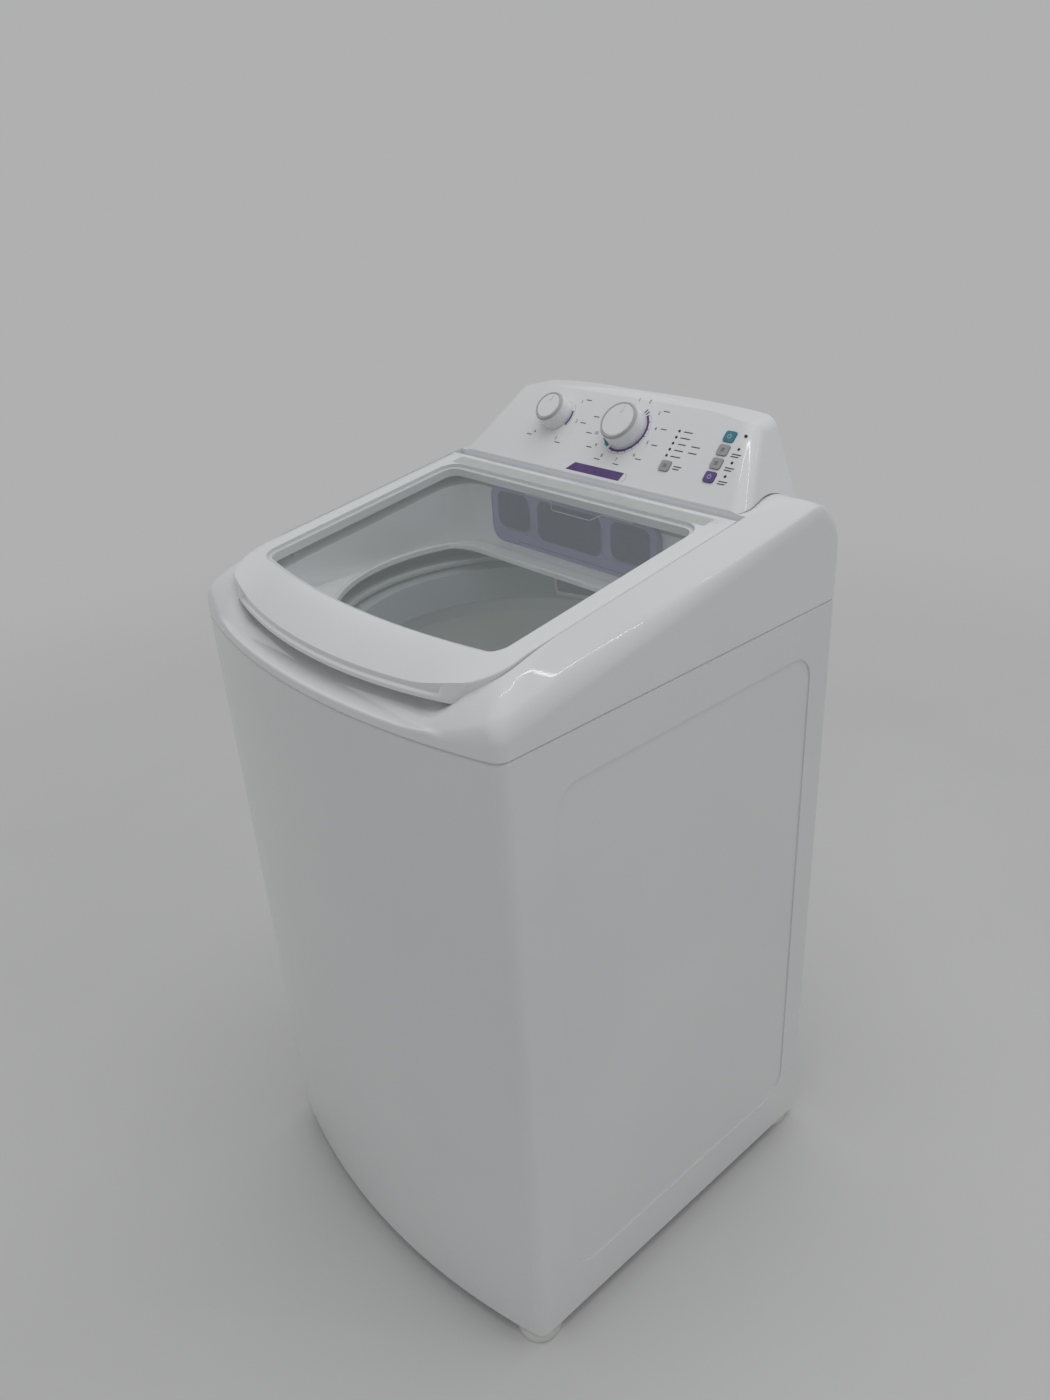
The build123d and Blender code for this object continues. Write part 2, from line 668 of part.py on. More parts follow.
def drawer_heights():
    """Lowest and highest edge of the drawer's front panel."""
    high = deck_height(DRAWER_Y) - DRAWER_TOP_DROP
    return high - DRAWER_HEIGHT, high


def drawer_tray_heights():
    low, high = drawer_heights()
    return low + DRAWER_TRAY_LIFT, high - DRAWER_TRAY_DROP


def make_top_cover():
    form = cover_form(0)
    skin = form - cover_form(COVER_WALL)
    lining = lid_pocket(COVER_WALL, 0) + front_scoop(COVER_WALL) + well_form(COVER_WALL)
    pivot_y, pivot_z = pivot_place()
    wall_x = LID_HALF + LID_GAP
    lining += pair(across(2 * PIN_RADIUS, wall_x, wall_x + PIN_REACH + COVER_WALL, pivot_y, pivot_z))
    cover = skin + (lining & form)
    cover -= lid_pocket(0, SKY)
    cover -= front_scoop(0)
    cover -= well_form(0)
    mouth = rod(OPENING_RADIUS, SEAM_HEIGHT, SKY, 0, TUB_Y)
    flat_y = DRAWER_Y - OPENING_SETBACK
    mouth &= block(-WIDTH, WIDTH, WELL_FRONT_Y, flat_y, SEAM_HEIGHT, WELL_FLOOR + COVER_WALL)
    cover -= mouth
    cover -= drawer_mouth(CLEAR + HOUSING_WALL + SEAT_GAP)
    cover -= pair(across(PIN_RADIUS + RUN_FIT, 0, wall_x + PIN_REACH, pivot_y, pivot_z))
    port = PORT_RADIUS + PORT_COLLAR + CLEAR
    cover -= lying(port, BACK_Y - VALVE_BODY, BACK_Y + SHEET, PORT_X, SEAM_HEIGHT + PORT_RISE)
    return cover


# Lid


def lip_profile():
    """Side view of the lid's front: bends down from the flat, then turns to a grip lip."""
    chord = atan2(-CREASE_Z, BEND_Y - CREASE_Y)
    fall = 2 * chord
    inner = (CREASE_Y + LIP_THICK * sin(fall), CREASE_Z - LIP_THICK * cos(fall))
    low = (LIP_Y + LIP_THICK, LIP_Z)
    top = TangentArc((BEND_Y, 0), (CREASE_Y, CREASE_Z), tangent=(-1, 0))
    under = TangentArc((BEND_Y, -LIP_THICK), inner, tangent=(-1, 0))
    front = Polyline((CREASE_Y, CREASE_Z), (LIP_Y, LIP_Z), low, inner)
    return make_face(top + front + under + Line((BEND_Y, -LIP_THICK), (BEND_Y, 0)))


def window_face(inset):
    """The window's outline in the lid's plane."""
    half = LID_HALF - RAIL - inset
    bow = WINDOW_FRONT_RADIUS - inset
    centre_y = BEND_Y + WINDOW_FRONT_RADIUS
    corner_y = centre_y - sqrt(bow**2 - half**2)
    back = PIVOT_BACK - REAR_RAIL - inset
    rails = Polyline((-half, corner_y), (-half, back), (half, back), (half, corner_y))
    arc = ThreePointArc((half, corner_y), (0, centre_y - bow), (-half, corner_y))
    face = make_face(rails + arc)
    return fillet(face.vertices(), WINDOW_CORNER - inset)


def make_lid_frame():
    flat = prism(lid_face(0, BEND_Y - SHEET, PIVOT_BACK, 0), -LID_THICK, 0)
    axis = Axis((0, LID_CENTRE_Y, 0), (0, 0, 1))
    turn = degrees(asin(LID_HALF / (LID_FRONT_RADIUS + LIP_Y - BEND_Y)))
    lip = revolve((Plane.YZ * lip_profile()).rotate(axis, -turn), axis, 2 * turn)
    outline = prism(lid_face(0, LIP_Y, LID_BACK, LID_CORNER), -WIDTH, WIDTH)
    lid = (flat + lip) & outline
    barrel = across(PIVOT_DROP, -LID_HALF, LID_HALF, PIVOT_BACK, -PIVOT_DROP)
    clear_half = LID_HALF - KNUCKLE_LENGTH
    barrel -= block(-clear_half, clear_half, PIVOT_BACK - WIDTH, PIVOT_BACK + WIDTH, -WIDTH, -LID_THICK)
    lid += barrel
    rib_back = PIVOT_BACK - PIVOT_DROP
    rib_front = BEND_Y + LID_CORNER
    rib_low = -LID_THICK - RIB_DROP
    lid += pair(block(LID_HALF - RIB, LID_HALF, rib_front, rib_back, rib_low, -LID_THICK))
    lid -= prism(window_face(0), -GLASS, LID_THICK)
    lid -= prism(window_face(WINDOW_LEDGE), -2 * LID_THICK, LID_THICK)
    lid -= pair(across(PIN_RADIUS + RUN_FIT, LID_HALF - PIN_GRIP, LID_HALF + RIB, PIVOT_BACK, -PIVOT_DROP))
    return on_lid(lid)


def make_lid_glass():
    return on_lid(prism(window_face(CLEAR), SEAT_GAP - GLASS, -SEAT_GAP))


def make_lid_hinge_pins():
    start = LID_HALF - PIN_GRIP + SEAT_GAP
    end = LID_HALF + LID_GAP + PIN_REACH - SEAT_GAP
    return on_lid(pair(across(PIN_RADIUS, start, end, PIVOT_BACK, -PIVOT_DROP)))


def make_lid_bumpers():
    seat = -POCKET_DEPTH
    top = -LID_THICK - RIB_DROP - SEAT_GAP
    x = LID_HALF - BUMPER_RADIUS
    y = BEND_Y + LID_CORNER + 2 * BUMPER_RADIUS
    return on_lid(pair(rod(BUMPER_RADIUS, seat, top, x, y)))


# Console


def console_form(inset):
    """Bulk of the console: tilted face, rounded crowned top, leaning sides."""
    face_y = CONSOLE_Y + FACE_LENGTH * cos(FACE_TURN)
    face_z = CONSOLE_EDGE + FACE_LENGTH * sin(FACE_TURN)
    back_y = face_y + CONSOLE_TOP_DEPTH
    low = SEAM_HEIGHT
    front = Polyline((back_y, low), (CONSOLE_Y, low), (CONSOLE_Y, CONSOLE_EDGE), (face_y, face_z))
    back_z = face_z - CONSOLE_REAR_DROP
    top = ThreePointArc(
        (face_y, face_z), ((face_y + back_y) / 2, face_z + CONSOLE_TOP_RISE), (back_y, back_z)
    )
    face = make_face(front + top + Line((back_y, back_z), (back_y, low)))
    if inset:
        face = offset(face, -inset, kind=Kind.INTERSECTION)
    form = side_prism(face, HALF_WIDTH)
    half = LID_HALF - LID_GAP
    crown_z = face_z + CONSOLE_TOP_RISE - inset
    side_z = crown_z - CONSOLE_CROWN
    rails = Polyline((half, side_z), (half, low), (-half, low), (-half, side_z))
    crown = make_face(rails + ThreePointArc((-half, side_z), (0, crown_z), (half, side_z)))
    plane = Plane(origin=(0, CONSOLE_Y, 0), x_dir=(1, 0, 0), z_dir=(0, -1, 0))
    form &= extrude(plane * crown, amount=WIDTH, both=True)
    lean = radians(CONSOLE_SIDE_LEAN)
    toe = radians(CONSOLE_SIDE_TOE)
    side = Plane(
        origin=(half - inset, CONSOLE_Y, CONSOLE_EDGE),
        z_dir=(cos(lean) * cos(toe), cos(lean) * sin(toe), sin(lean)),
    )
    form -= pair(side.location * Pos(0, 0, WIDTH / 2) * Box(2 * WIDTH, 2 * WIDTH, WIDTH))
    corner = [
        e for e in form.edges()
        if abs(e.center().X) > half / 2
        and e.center().Z > CONSOLE_EDGE
        and e.center().Y < back_y - 2 * inset - CLEAR
        and abs(e.tangent_at().X) < cos(lean)
    ]
    return fillet(corner, CONSOLE_SIDE_ROUND - inset)


def on_face(x, up, solid):
    """A solid drawn about the origin, set on the console face."""
    return FACE_PLANE.location * Pos(x, up, 0) * solid


def button_block(x, up, grow, low, high):
    face = RectangleRounded(BUTTON_WIDE + 2 * grow, BUTTON_TALL + 2 * grow, BUTTON_CORNER + grow)
    return on_face(x, up, prism(face, low, high))


def lamp_places():
    places = [(STATUS_LAMP_X, STATUS_LAMP_LOW + i * STATUS_LAMP_PITCH) for i in range(STATUS_LAMPS)]
    dx, du = BUTTON_LAMP_OFFSET
    return places + [(x + dx, up + du) for x, up in list(BUTTON_PLACES.values())[:-1]]


def board_span():
    """Board edges on the face: left, right, low, high."""
    xs = [x for x, _ in BUTTON_PLACES.values()]
    ups = [up for _, up in BUTTON_PLACES.values()]
    tall = BOARD_MARGIN / 2
    return min(xs) - BOARD_MARGIN, max(xs) + BOARD_MARGIN, min(ups) - tall, max(ups) + tall


def post_places():
    left, right, low, high = board_span()
    inset = 2 * POST_RADIUS
    return [(x, up) for x in (left + inset, (left + right) / 2) for up in (low + inset, high - inset)]


def make_console():
    shell = console_form(0) - console_form(CONSOLE_WALL)
    shell -= cover_form(-SEAT_GAP)
    for x, up in post_places():
        shell += on_face(x, up, rod(POST_RADIUS, -BOARD_DROP, -CONSOLE_WALL / 2))
    for x, up in BUTTON_PLACES.values():
        shell -= button_block(x, up, CLEAR, -2 * CONSOLE_WALL, CONSOLE_WALL)
    for x, up in lamp_places():
        shell -= on_face(x, up, rod(LAMP_RADIUS + SEAT_GAP, -2 * CONSOLE_WALL, CONSOLE_WALL))
    for x, up in (PROGRAM_KNOB, LEVEL_KNOB):
        shell -= on_face(x, up, rod(KNOB_STEM + CLEAR, -2 * CONSOLE_WALL, CONSOLE_WALL))
    return shell


def make_knob(place, radius):
    """A round knob with a tapered skirt, a pointer nib and a stem."""
    top = KNOB_HEIGHT - KNOB_BEVEL
    skirt = Pos(0, 0, (top + CLEAR) / 2) * Cone(radius, radius - KNOB_BEVEL / 2, top - CLEAR)
    cap_radius = radius - KNOB_BEVEL - KNOB_BEVEL / 2
    cap = rod(cap_radius, top - CLEAR, KNOB_HEIGHT - CLEAR)
    cap = fillet(cap.edges().group_by(Axis.Z)[-1], KNOB_BEVEL / 3)
    tip = cap_radius - KNOB_BEVEL / 2
    high = KNOB_HEIGHT - CLEAR + KNOB_NIB_STAND
    nib = block(-KNOB_NIB / 2, KNOB_NIB / 2, tip / 2, tip, top, high)
    stem = rod(KNOB_STEM, stem_foot(), KNOB_BEVEL)
    return on_face(*place, skirt + cap + nib + stem)


def stem_foot():
    """Lower end of a knob's stem, measured from the console face."""
    return CLEAR - CONSOLE_WALL - SELECTOR_DEPTH / 2


def make_knob_bezel(place, radius):
    """The grey bevelled ring let into the knob's rim."""
    low = KNOB_HEIGHT - KNOB_BEVEL + SEAT_GAP / 4
    wide = radius - KNOB_BEVEL / 2
    bore = radius - KNOB_BEVEL - KNOB_BEVEL / 2 + SEAT_GAP / 4
    high = KNOB_HEIGHT - CLEAR
    points = [(bore, low), (wide, low), (bore + KNOB_BEVEL / 2, high), (bore, high)]
    face = make_face(Polyline(*points, close=True))
    return on_face(*place, revolve(Plane.XZ * face, Axis.Z))


def make_selector(place):
    body = rod(SELECTOR_RADIUS, -CONSOLE_WALL - SELECTOR_DEPTH, -CONSOLE_WALL)
    body -= rod(KNOB_STEM + RUN_FIT, stem_foot() - CLEAR, CONSOLE_WALL)
    return on_face(*place, body)


def make_button(x, up):
    key = button_block(x, up, 0, -CONSOLE_WALL - BUTTON_FLANGE, BUTTON_STAND)
    flange_top = -CONSOLE_WALL - SEAT_GAP
    return key + button_block(x, up, BUTTON_FLANGE, flange_top - BUTTON_FLANGE, flange_top)


def make_indicator_lamps():
    lamps = Part()
    for x, up in lamp_places():
        lamps += on_face(x, up, rod(LAMP_RADIUS, -CONSOLE_WALL - LAMP_RADIUS, LAMP_STAND))
    return lamps


def make_control_board():
    left, right, low, high = board_span()
    return FACE_PLANE.location * block(left, right, low, high, -BOARD_DROP - BOARD_THICK, -BOARD_DROP)


def make_button_switches():
    switches = Part()
    flange_low = -CONSOLE_WALL - SEAT_GAP - BUTTON_FLANGE
    top = flange_low - BUTTON_TRAVEL - SEAT_GAP
    half = BUTTON_TALL / 4
    for x, up in BUTTON_PLACES.values():
        switches += on_face(x, up, block(-half, half, -half, half, -BOARD_DROP, top))
    return switches


# Dispenser


def make_dispenser_drawer():
    low, high = drawer_heights()
    tray_low, tray_high = drawer_tray_heights()
    half = DRAWER_HALF - DRAWER_TRAY_INSET
    outline = Pos(0, (low + high) / 2) * RectangleRounded(2 * DRAWER_HALF, high - low, DRAWER_CORNER)
    plane = Plane(origin=(0, DRAWER_Y, 0), x_dir=(1, 0, 0), z_dir=(0, -1, 0))
    panel = extrude(plane * outline, amount=DRAWER_PANEL, dir=(0, 1, 0))
    pitch = 2 * half / DRAWER_WINDOWS
    pane = RectangleRounded(pitch - DRAWER_CORNER, (high - low) - 2 * DRAWER_CORNER, DRAWER_CORNER / 2)
    for i in range(DRAWER_WINDOWS):
        x = -half + (i + 0.5) * pitch
        panel -= extrude(plane * Pos(x, (low + high) / 2) * pane, amount=WINDOW_RELIEF, dir=(0, 1, 0))
    front = DRAWER_Y + DRAWER_PANEL
    back = front + DRAWER_DEPTH
    tray = sloped_block(half, front - DRAWER_PANEL / 2, back, tray_low, tray_high)
    for i in range(DRAWER_WINDOWS):
        x = -half + (i + 0.5) * pitch
        floor = tray_low + DRAWER_WALL
        cell = sloped_block(pitch / 2 - DRAWER_WALL, front, back - DRAWER_WALL, floor, tray_high + WIDTH)
        tray -= Pos(x, 0, 0) * cell
    return panel + tray


def make_dispenser_housing():
    half = DRAWER_HALF - DRAWER_TRAY_INSET
    low, high = drawer_tray_heights()
    front = DRAWER_Y + DRAWER_PANEL + CLEAR
    back = DRAWER_Y + DRAWER_PANEL + DRAWER_DEPTH + HOUSING_BACK_GAP
    wall = CLEAR + HOUSING_WALL
    box = sloped_block(half + wall, front, back, low - wall, high + wall)
    box -= sloped_block(half + CLEAR, front - DRAWER_PANEL, back - HOUSING_WALL, low - CLEAR, high + CLEAR)
    x, z = housing_port_x(), housing_port_height()
    port = lying(HOSE_RADIUS - HOSE_WALL - SEAT_GAP, back - HOUSING_WALL, back + 2 * HOSE_RADIUS, x, z)
    bore = lying(HOSE_RADIUS - 2 * HOSE_WALL, back - 2 * HOUSING_WALL, back + WIDTH, x, z)
    return box + port - bore


def housing_port_x():
    return PORT_X + VALVE_BODY + 2 * HOSE_RADIUS


def housing_port_height():
    low, high = drawer_tray_heights()
    back = DRAWER_PANEL + DRAWER_DEPTH + HOUSING_BACK_GAP
    return (low + high) / 2 + tan(LID_TURN) * back


# Water inlet


def make_inlet_valve():
    z = SEAM_HEIGHT + PORT_RISE
    inner = BACK_Y - COVER_WALL
    port = lying(PORT_RADIUS, inner - COVER_WALL, BACK_Y + PORT_REACH, PORT_X, z)
    port += lying(PORT_RADIUS + PORT_COLLAR, inner - COVER_WALL, BACK_Y + PORT_COLLAR, PORT_X, z)
    half = VALVE_BODY / 2
    body = block(PORT_X - half, PORT_X + half, inner - VALVE_BODY, inner - SEAT_GAP, z - half, z + half)
    stub_x = PORT_X + half
    stub = across(HOSE_RADIUS - HOSE_WALL - SEAT_GAP, stub_x, stub_x + 2 * HOSE_RADIUS, inner - half, z)
    bore = lying(PORT_BORE, inner - half, BACK_Y + PORT_REACH + SHEET, PORT_X, z)
    return body + port + stub - bore


def make_fill_hose():
    z = SEAM_HEIGHT + PORT_RISE
    valve_y = BACK_Y - COVER_WALL - VALVE_BODY / 2
    start = Vector(PORT_X + VALVE_BODY / 2 + SEAT_GAP, valve_y, z)
    end_y = DRAWER_Y + DRAWER_PANEL + DRAWER_DEPTH + HOUSING_BACK_GAP + SEAT_GAP
    end = Vector(housing_port_x(), end_y, housing_port_height())
    corner = Vector(end.X, valve_y, z)
    lift = Vector(end.X, valve_y, end.Z)
    points = [start, corner, lift, end]
    radius = HOSE_RADIUS + HOSE_WALL
    path = FilletPolyline(*points, radius=radius)
    plane = Plane(origin=start, z_dir=(1, 0, 0))
    ring = Circle(HOSE_RADIUS) - Circle(HOSE_RADIUS - HOSE_WALL)
    return sweep(plane * ring, path=path)


# Tub, basket and agitator


def make_outer_tub():
    r, w, low, top = TUB_RADIUS, TUB_WALL, TUB_BOTTOM, TUB_TOP
    bore = BEARING_RADIUS + SEAT_GAP
    hub = bore + TUB_HUB_WALL
    hub_top = low + TUB_HUB_HEIGHT
    outside = [(bore, low), (r, low), (r, top), (r - w, top)]
    tub = turned(outside + [(r - w, low + w), (hub, low + w), (hub, hub_top), (bore, hub_top)], TUB_Y)
    inside = rod(r - w / 2, low - WIDTH, top + WIDTH, 0, TUB_Y)
    for x, y in ROD_PLACES:
        reach = hypot(x, y - TUB_Y)
        angle = degrees(atan2(y - TUB_Y, x))
        arm = block(0, reach, -LUG_WIDE / 2, LUG_WIDE / 2, LUG_LOW, LUG_LOW + LUG_THICK)
        arm += rod(LUG_WIDE / 2, LUG_LOW, LUG_LOW + LUG_THICK, reach, 0)
        arm = Pos(0, TUB_Y, 0) * Rot(0, 0, angle) * arm
        tub += arm - inside
    for x, y in ROD_PLACES:
        tub -= rod(ROD_RADIUS + ROD_HOLE_GAP, LUG_LOW - LUG_THICK, LUG_LOW + 2 * LUG_THICK, x, y)
    return tub


def make_tub_ring():
    top = TUB_TOP + TUB_RING_HEIGHT
    outer = TUB_RADIUS
    return turned(
        [(TUB_RING_BORE + BALANCE_WALL, TUB_TOP), (outer, TUB_TOP), (outer, TUB_TOP + COVER_WALL),
         (TUB_RING_BORE + 2 * BALANCE_WALL, top), (TUB_RING_BORE, top), (TUB_RING_BORE, top - COVER_WALL)],
        TUB_Y,
    )


def make_basket():
    r, w, low, top = BASKET_RADIUS, BASKET_WALL, BASKET_BOTTOM, BASKET_TOP
    bore = HUB_RADIUS / 2
    outside = [(bore, low), (r, low), (r, top), (r - w, top)]
    basket = turned(outside + [(r - w, low + w), (bore, low + w)], TUB_Y)
    rows = [low + (i + 1) * (top - low) / (BASKET_HOLE_ROWS + 1) for i in range(BASKET_HOLE_ROWS)]
    drills = []
    for row, z in enumerate(rows):
        for column in range(BASKET_HOLE_COLUMNS):
            turn = 360 * (column + row % 2 / 2) / BASKET_HOLE_COLUMNS
            drill = across(BASKET_HOLE, r - 4 * w, r + 2 * w, 0, z)
            drills.append(Pos(0, TUB_Y, 0) * Rot(0, 0, turn) * drill)
    return basket - drills


def make_basket_rim():
    """White stepped ring that narrows from the basket wall to the balance ring's bore."""
    points = [(BASKET_RADIUS, BASKET_TOP), (BASKET_RADIUS, BALANCE_BOTTOM)]
    step_height = RIM_HEIGHT / RIM_STEPS
    inner = BASKET_RADIUS - BASKET_WALL
    lining = []
    for i in range(RIM_STEPS):
        low = BASKET_TOP + i * step_height
        radius = inner - i * RIM_STEP
        lining += [(radius, low), (radius, low + step_height)]
    return turned(points + lining[::-1], TUB_Y)


def make_balance_ring():
    low, high = BALANCE_BOTTOM, BALANCE_TOP
    w = BALANCE_WALL
    bore_low = BALANCE_BORE
    bore_high = BALANCE_BORE + BALANCE_TAPER
    outer = BALANCE_RADIUS
    ring = turned([(bore_low, low), (outer, low), (outer, high), (bore_high, high)], TUB_Y)
    back = [(outer - w, low + w), (outer - w, high - w)]
    hollow = turned([(bore_low + 2 * w, low + w)] + back + [(bore_high + 2 * w, high - w)], TUB_Y)
    return ring - hollow - filter_block(SEAT_GAP, FILTER_DEEP)


def filter_block(grow, out):
    """The lint filter's cassette, let into the balance ring's bore, or its slot, open towards the axis."""
    middle = (BALANCE_BOTTOM + BALANCE_TOP) / 2
    face = BALANCE_BORE + BALANCE_TAPER / 2 - FILTER_DEEP / 3
    cassette = block(
        face - out, face + FILTER_DEEP + grow,
        -FILTER_WIDE / 2 - grow, FILTER_WIDE / 2 + grow,
        middle - FILTER_TALL / 2 - grow, middle + FILTER_TALL / 2 + grow,
    )
    return Pos(0, TUB_Y, 0) * Rot(0, 0, FILTER_ANGLE) * cassette


def make_lint_filter():
    return filter_block(0, 0)


def make_basket_hub():
    low = BASKET_BOTTOM - HUB_HEIGHT
    bore = SPIN_TUBE_RADIUS + SEAT_GAP / 2
    rim = HUB_RADIUS / 2 - SEAT_GAP
    seat = BASKET_BOTTOM
    top = BASKET_BOTTOM + BASKET_WALL
    dish = [(bore, low), (HUB_RADIUS / 2, low), (HUB_RADIUS, seat - HUB_HEIGHT / 2), (HUB_RADIUS, seat)]
    return turned(dish + [(rim, seat), (rim, top), (bore, top)], TUB_Y)


def spin_tube_span():
    return DRIVE_TOP - GEAR_CASE_HEIGHT / 2, BASKET_BOTTOM + BASKET_WALL


def make_spin_tube():
    low, high = spin_tube_span()
    return tube(SPIN_TUBE_RADIUS, SHAFT_RADIUS + RUN_FIT, low, high, 0, TUB_Y)


def shaft_top():
    return BASKET_BOTTOM + 2 * AGITATOR_SKIRT + HUB_HEIGHT


def make_drive_shaft():
    low, _ = spin_tube_span()
    top = shaft_top()
    shaft = rod(SHAFT_RADIUS, low - GEAR_CASE_WALL, top, 0, TUB_Y)
    return shaft - rod(BOLT_RADIUS + RUN_FIT, top - 2 * HUB_HEIGHT, top + HUB_HEIGHT, 0, TUB_Y)


def make_tub_bearings():
    bearings = Part()
    for low in (upper_bearing_low(), lower_bearing_low()):
        bearings += tube(BEARING_RADIUS, SPIN_TUBE_RADIUS + RUN_FIT, low, low + BEARING_HEIGHT, 0, TUB_Y)
    return bearings


def upper_bearing_low():
    return TUB_BOTTOM + TUB_HUB_HEIGHT - SEAL_HEIGHT - BEARING_HEIGHT


def make_tub_seal():
    low = upper_bearing_low() + BEARING_HEIGHT
    return tube(BEARING_RADIUS, SPIN_TUBE_RADIUS + RUN_FIT, low, low + SEAL_HEIGHT, 0, TUB_Y)


def make_agitator():
    low = BASKET_BOTTOM + BASKET_WALL + AGITATOR_WALL
    top = low + AGITATOR_HEIGHT
    w = AGITATOR_WALL
    skirt = low + AGITATOR_SKIRT
    hub = SHAFT_RADIUS + AGITATOR_WALL + w
    plate = shaft_top()
    outer = [
        (AGITATOR_RADIUS, low), (AGITATOR_RADIUS, low + w),
        (AGITATOR_POST + 2 * AGITATOR_SKIRT, skirt + w), (AGITATOR_POST, skirt + 3 * AGITATOR_SKIRT),
        (AGITATOR_TIP, top),
    ]
    inner = [
        (AGITATOR_TIP - w, top), (AGITATOR_POST - w, skirt + 3 * AGITATOR_SKIRT),
        (AGITATOR_POST - w, plate + w), (BOLT_RADIUS + RUN_FIT, plate + w), (BOLT_RADIUS + RUN_FIT, plate),
        (SHAFT_RADIUS + RUN_FIT, plate), (SHAFT_RADIUS + RUN_FIT, low), (hub, low), (hub, plate - 2 * w),
        (AGITATOR_POST - w, plate - 2 * w), (AGITATOR_POST - w, skirt + w),
        (AGITATOR_POST + 2 * AGITATOR_SKIRT - w, skirt), (AGITATOR_RADIUS - w, low),
    ]
    body = turned(outer + inner, TUB_Y)
    fin_face = make_face(
        Polyline(
            (AGITATOR_POST - w / 2, low + AGITATOR_SKIRT), (FIN_REACH, low + w),
            (FIN_REACH, low + 2 * w), (AGITATOR_POST - w / 2, skirt + FIN_HEIGHT), close=True,
        )
    )
    fin = extrude(Plane.XZ * fin_face, amount=FIN_THICK / 2, both=True)
    keep = turned(
        [(AGITATOR_POST - w, top), (AGITATOR_POST - w, skirt + w),
         (AGITATOR_POST + 2 * AGITATOR_SKIRT - w, skirt), (AGITATOR_RADIUS - w, low),
         (AGITATOR_RADIUS, low), (AGITATOR_RADIUS, top)]
    )
    fin &= keep
    for i in range(FIN_COUNT):
        body += Pos(0, TUB_Y, 0) * Rot(0, 0, 360 * i / FIN_COUNT) * fin
    return body


def make_agitator_cap():
    top = BASKET_BOTTOM + BASKET_WALL + AGITATOR_WALL + AGITATOR_HEIGHT
    cap = rod(AGITATOR_TIP, top, top + CAP_HEIGHT, 0, TUB_Y)
    return fillet(cap.edges().group_by(Axis.Z)[-1], CAP_HEIGHT / 2)


def make_agitator_bolt():
    seat = shaft_top() + AGITATOR_WALL
    head = rod(BOLT_HEAD, seat, seat + BOLT_HEAD_HEIGHT, 0, TUB_Y)
    return head + rod(BOLT_RADIUS, shaft_top() - HUB_HEIGHT, seat, 0, TUB_Y)


# Drive under the tub


def make_drive_bracket():
    half_x, half_y = BRACKET_HALF_WIDE, BRACKET_HALF_DEEP
    face = Pos(0, TUB_Y) * RectangleRounded(2 * half_x, 2 * half_y, half_y / 4)
    plate = prism(face, DRIVE_TOP, TUB_BOTTOM)
    return plate - rod(BEARING_RADIUS + SEAT_GAP, DRIVE_TOP - SHEET, TUB_BOTTOM + SHEET, 0, TUB_Y)


def make_gear_case():
    low = DRIVE_TOP - GEAR_CASE_HEIGHT
    w = GEAR_CASE_WALL
    room = BEARING_RADIUS + SEAT_GAP
    step = lower_bearing_low()
    floor = low + w + PULLEY_WIDTH
    return turned(
        [(INPUT_SHAFT + RUN_FIT, low), (GEAR_CASE_RADIUS - 2 * w, low), (GEAR_CASE_RADIUS, low + 2 * w),
         (GEAR_CASE_RADIUS, DRIVE_TOP), (room, DRIVE_TOP), (room, step), (room - w / 2, step),
         (room - w / 2, floor), (INPUT_SHAFT + RUN_FIT, floor)],
        TUB_Y,
    )


def lower_bearing_low():
    return DRIVE_TOP - GEAR_CASE_HEIGHT / 2


def pulley(radius, bore, low):
    """A grooved pulley whose groove floor is the belt's pitch radius."""
    top = low + PULLEY_WIDTH
    middle = (low + top) / 2
    land = radius + PULLEY_GROOVE
    half = BELT_WIDTH / 2 + CLEAR
    return turned(
        [(bore, low), (land, low), (land, middle - half), (radius, middle - half), (radius, middle + half),
         (land, middle + half), (land, top), (bore, top)]
    )


def make_driven_pulley():
    low = PULLEY_TOP - PULLEY_WIDTH
    wheel = Pos(0, TUB_Y, 0) * pulley(BIG_PULLEY, INPUT_SHAFT / 2, low)
    top = DRIVE_TOP - GEAR_CASE_HEIGHT + GEAR_CASE_WALL + PULLEY_WIDTH
    drill = rod(INPUT_SHAFT, low - SHEET, PULLEY_TOP + SHEET, PULLEY_HOLE_CIRCLE, 0)
    for i in range(PULLEY_HOLES):
        wheel -= Pos(0, TUB_Y, 0) * Rot(0, 0, 360 * i / PULLEY_HOLES) * drill
    return wheel + rod(INPUT_SHAFT, low, top - SHEET, 0, TUB_Y)


def motor_low():
    return DRIVE_TOP - MOTOR_HEIGHT


def make_drive_motor():
    body = rod(MOTOR_RADIUS, motor_low(), DRIVE_TOP, MOTOR_X, TUB_Y)
    body = fillet(body.edges().group_by(Axis.Z)[0], MOTOR_SHAFT)
    low = motor_low()
    return body - rod(MOTOR_SHAFT + RUN_FIT, low - SHEET, low + MOTOR_HEIGHT / 2, MOTOR_X, TUB_Y)


def make_motor_pulley():
    low = PULLEY_TOP - PULLEY_WIDTH
    wheel = Pos(MOTOR_X, TUB_Y, 0) * pulley(SMALL_PULLEY, MOTOR_SHAFT / 2, low)
    return wheel + rod(MOTOR_SHAFT, low, motor_low() + MOTOR_HEIGHT / 2 - SHEET, MOTOR_X, TUB_Y)


def belt_loop(grow):
    """Outline of the belt's inner run, grown outwards."""
    big = BIG_PULLEY + CLEAR + grow
    small = SMALL_PULLEY + CLEAR + grow
    lean = asin((big - small) / MOTOR_X)
    left = (big * sin(lean), big * cos(lean))
    right = (MOTOR_X + small * sin(lean), small * cos(lean))
    around = ThreePointArc(left, (-big, 0), (left[0], -left[1]))
    bend = ThreePointArc((right[0], -right[1]), (MOTOR_X + small, 0), right)
    return make_face(around + Line((left[0], -left[1]), (right[0], -right[1])) + bend + Line(right, left))


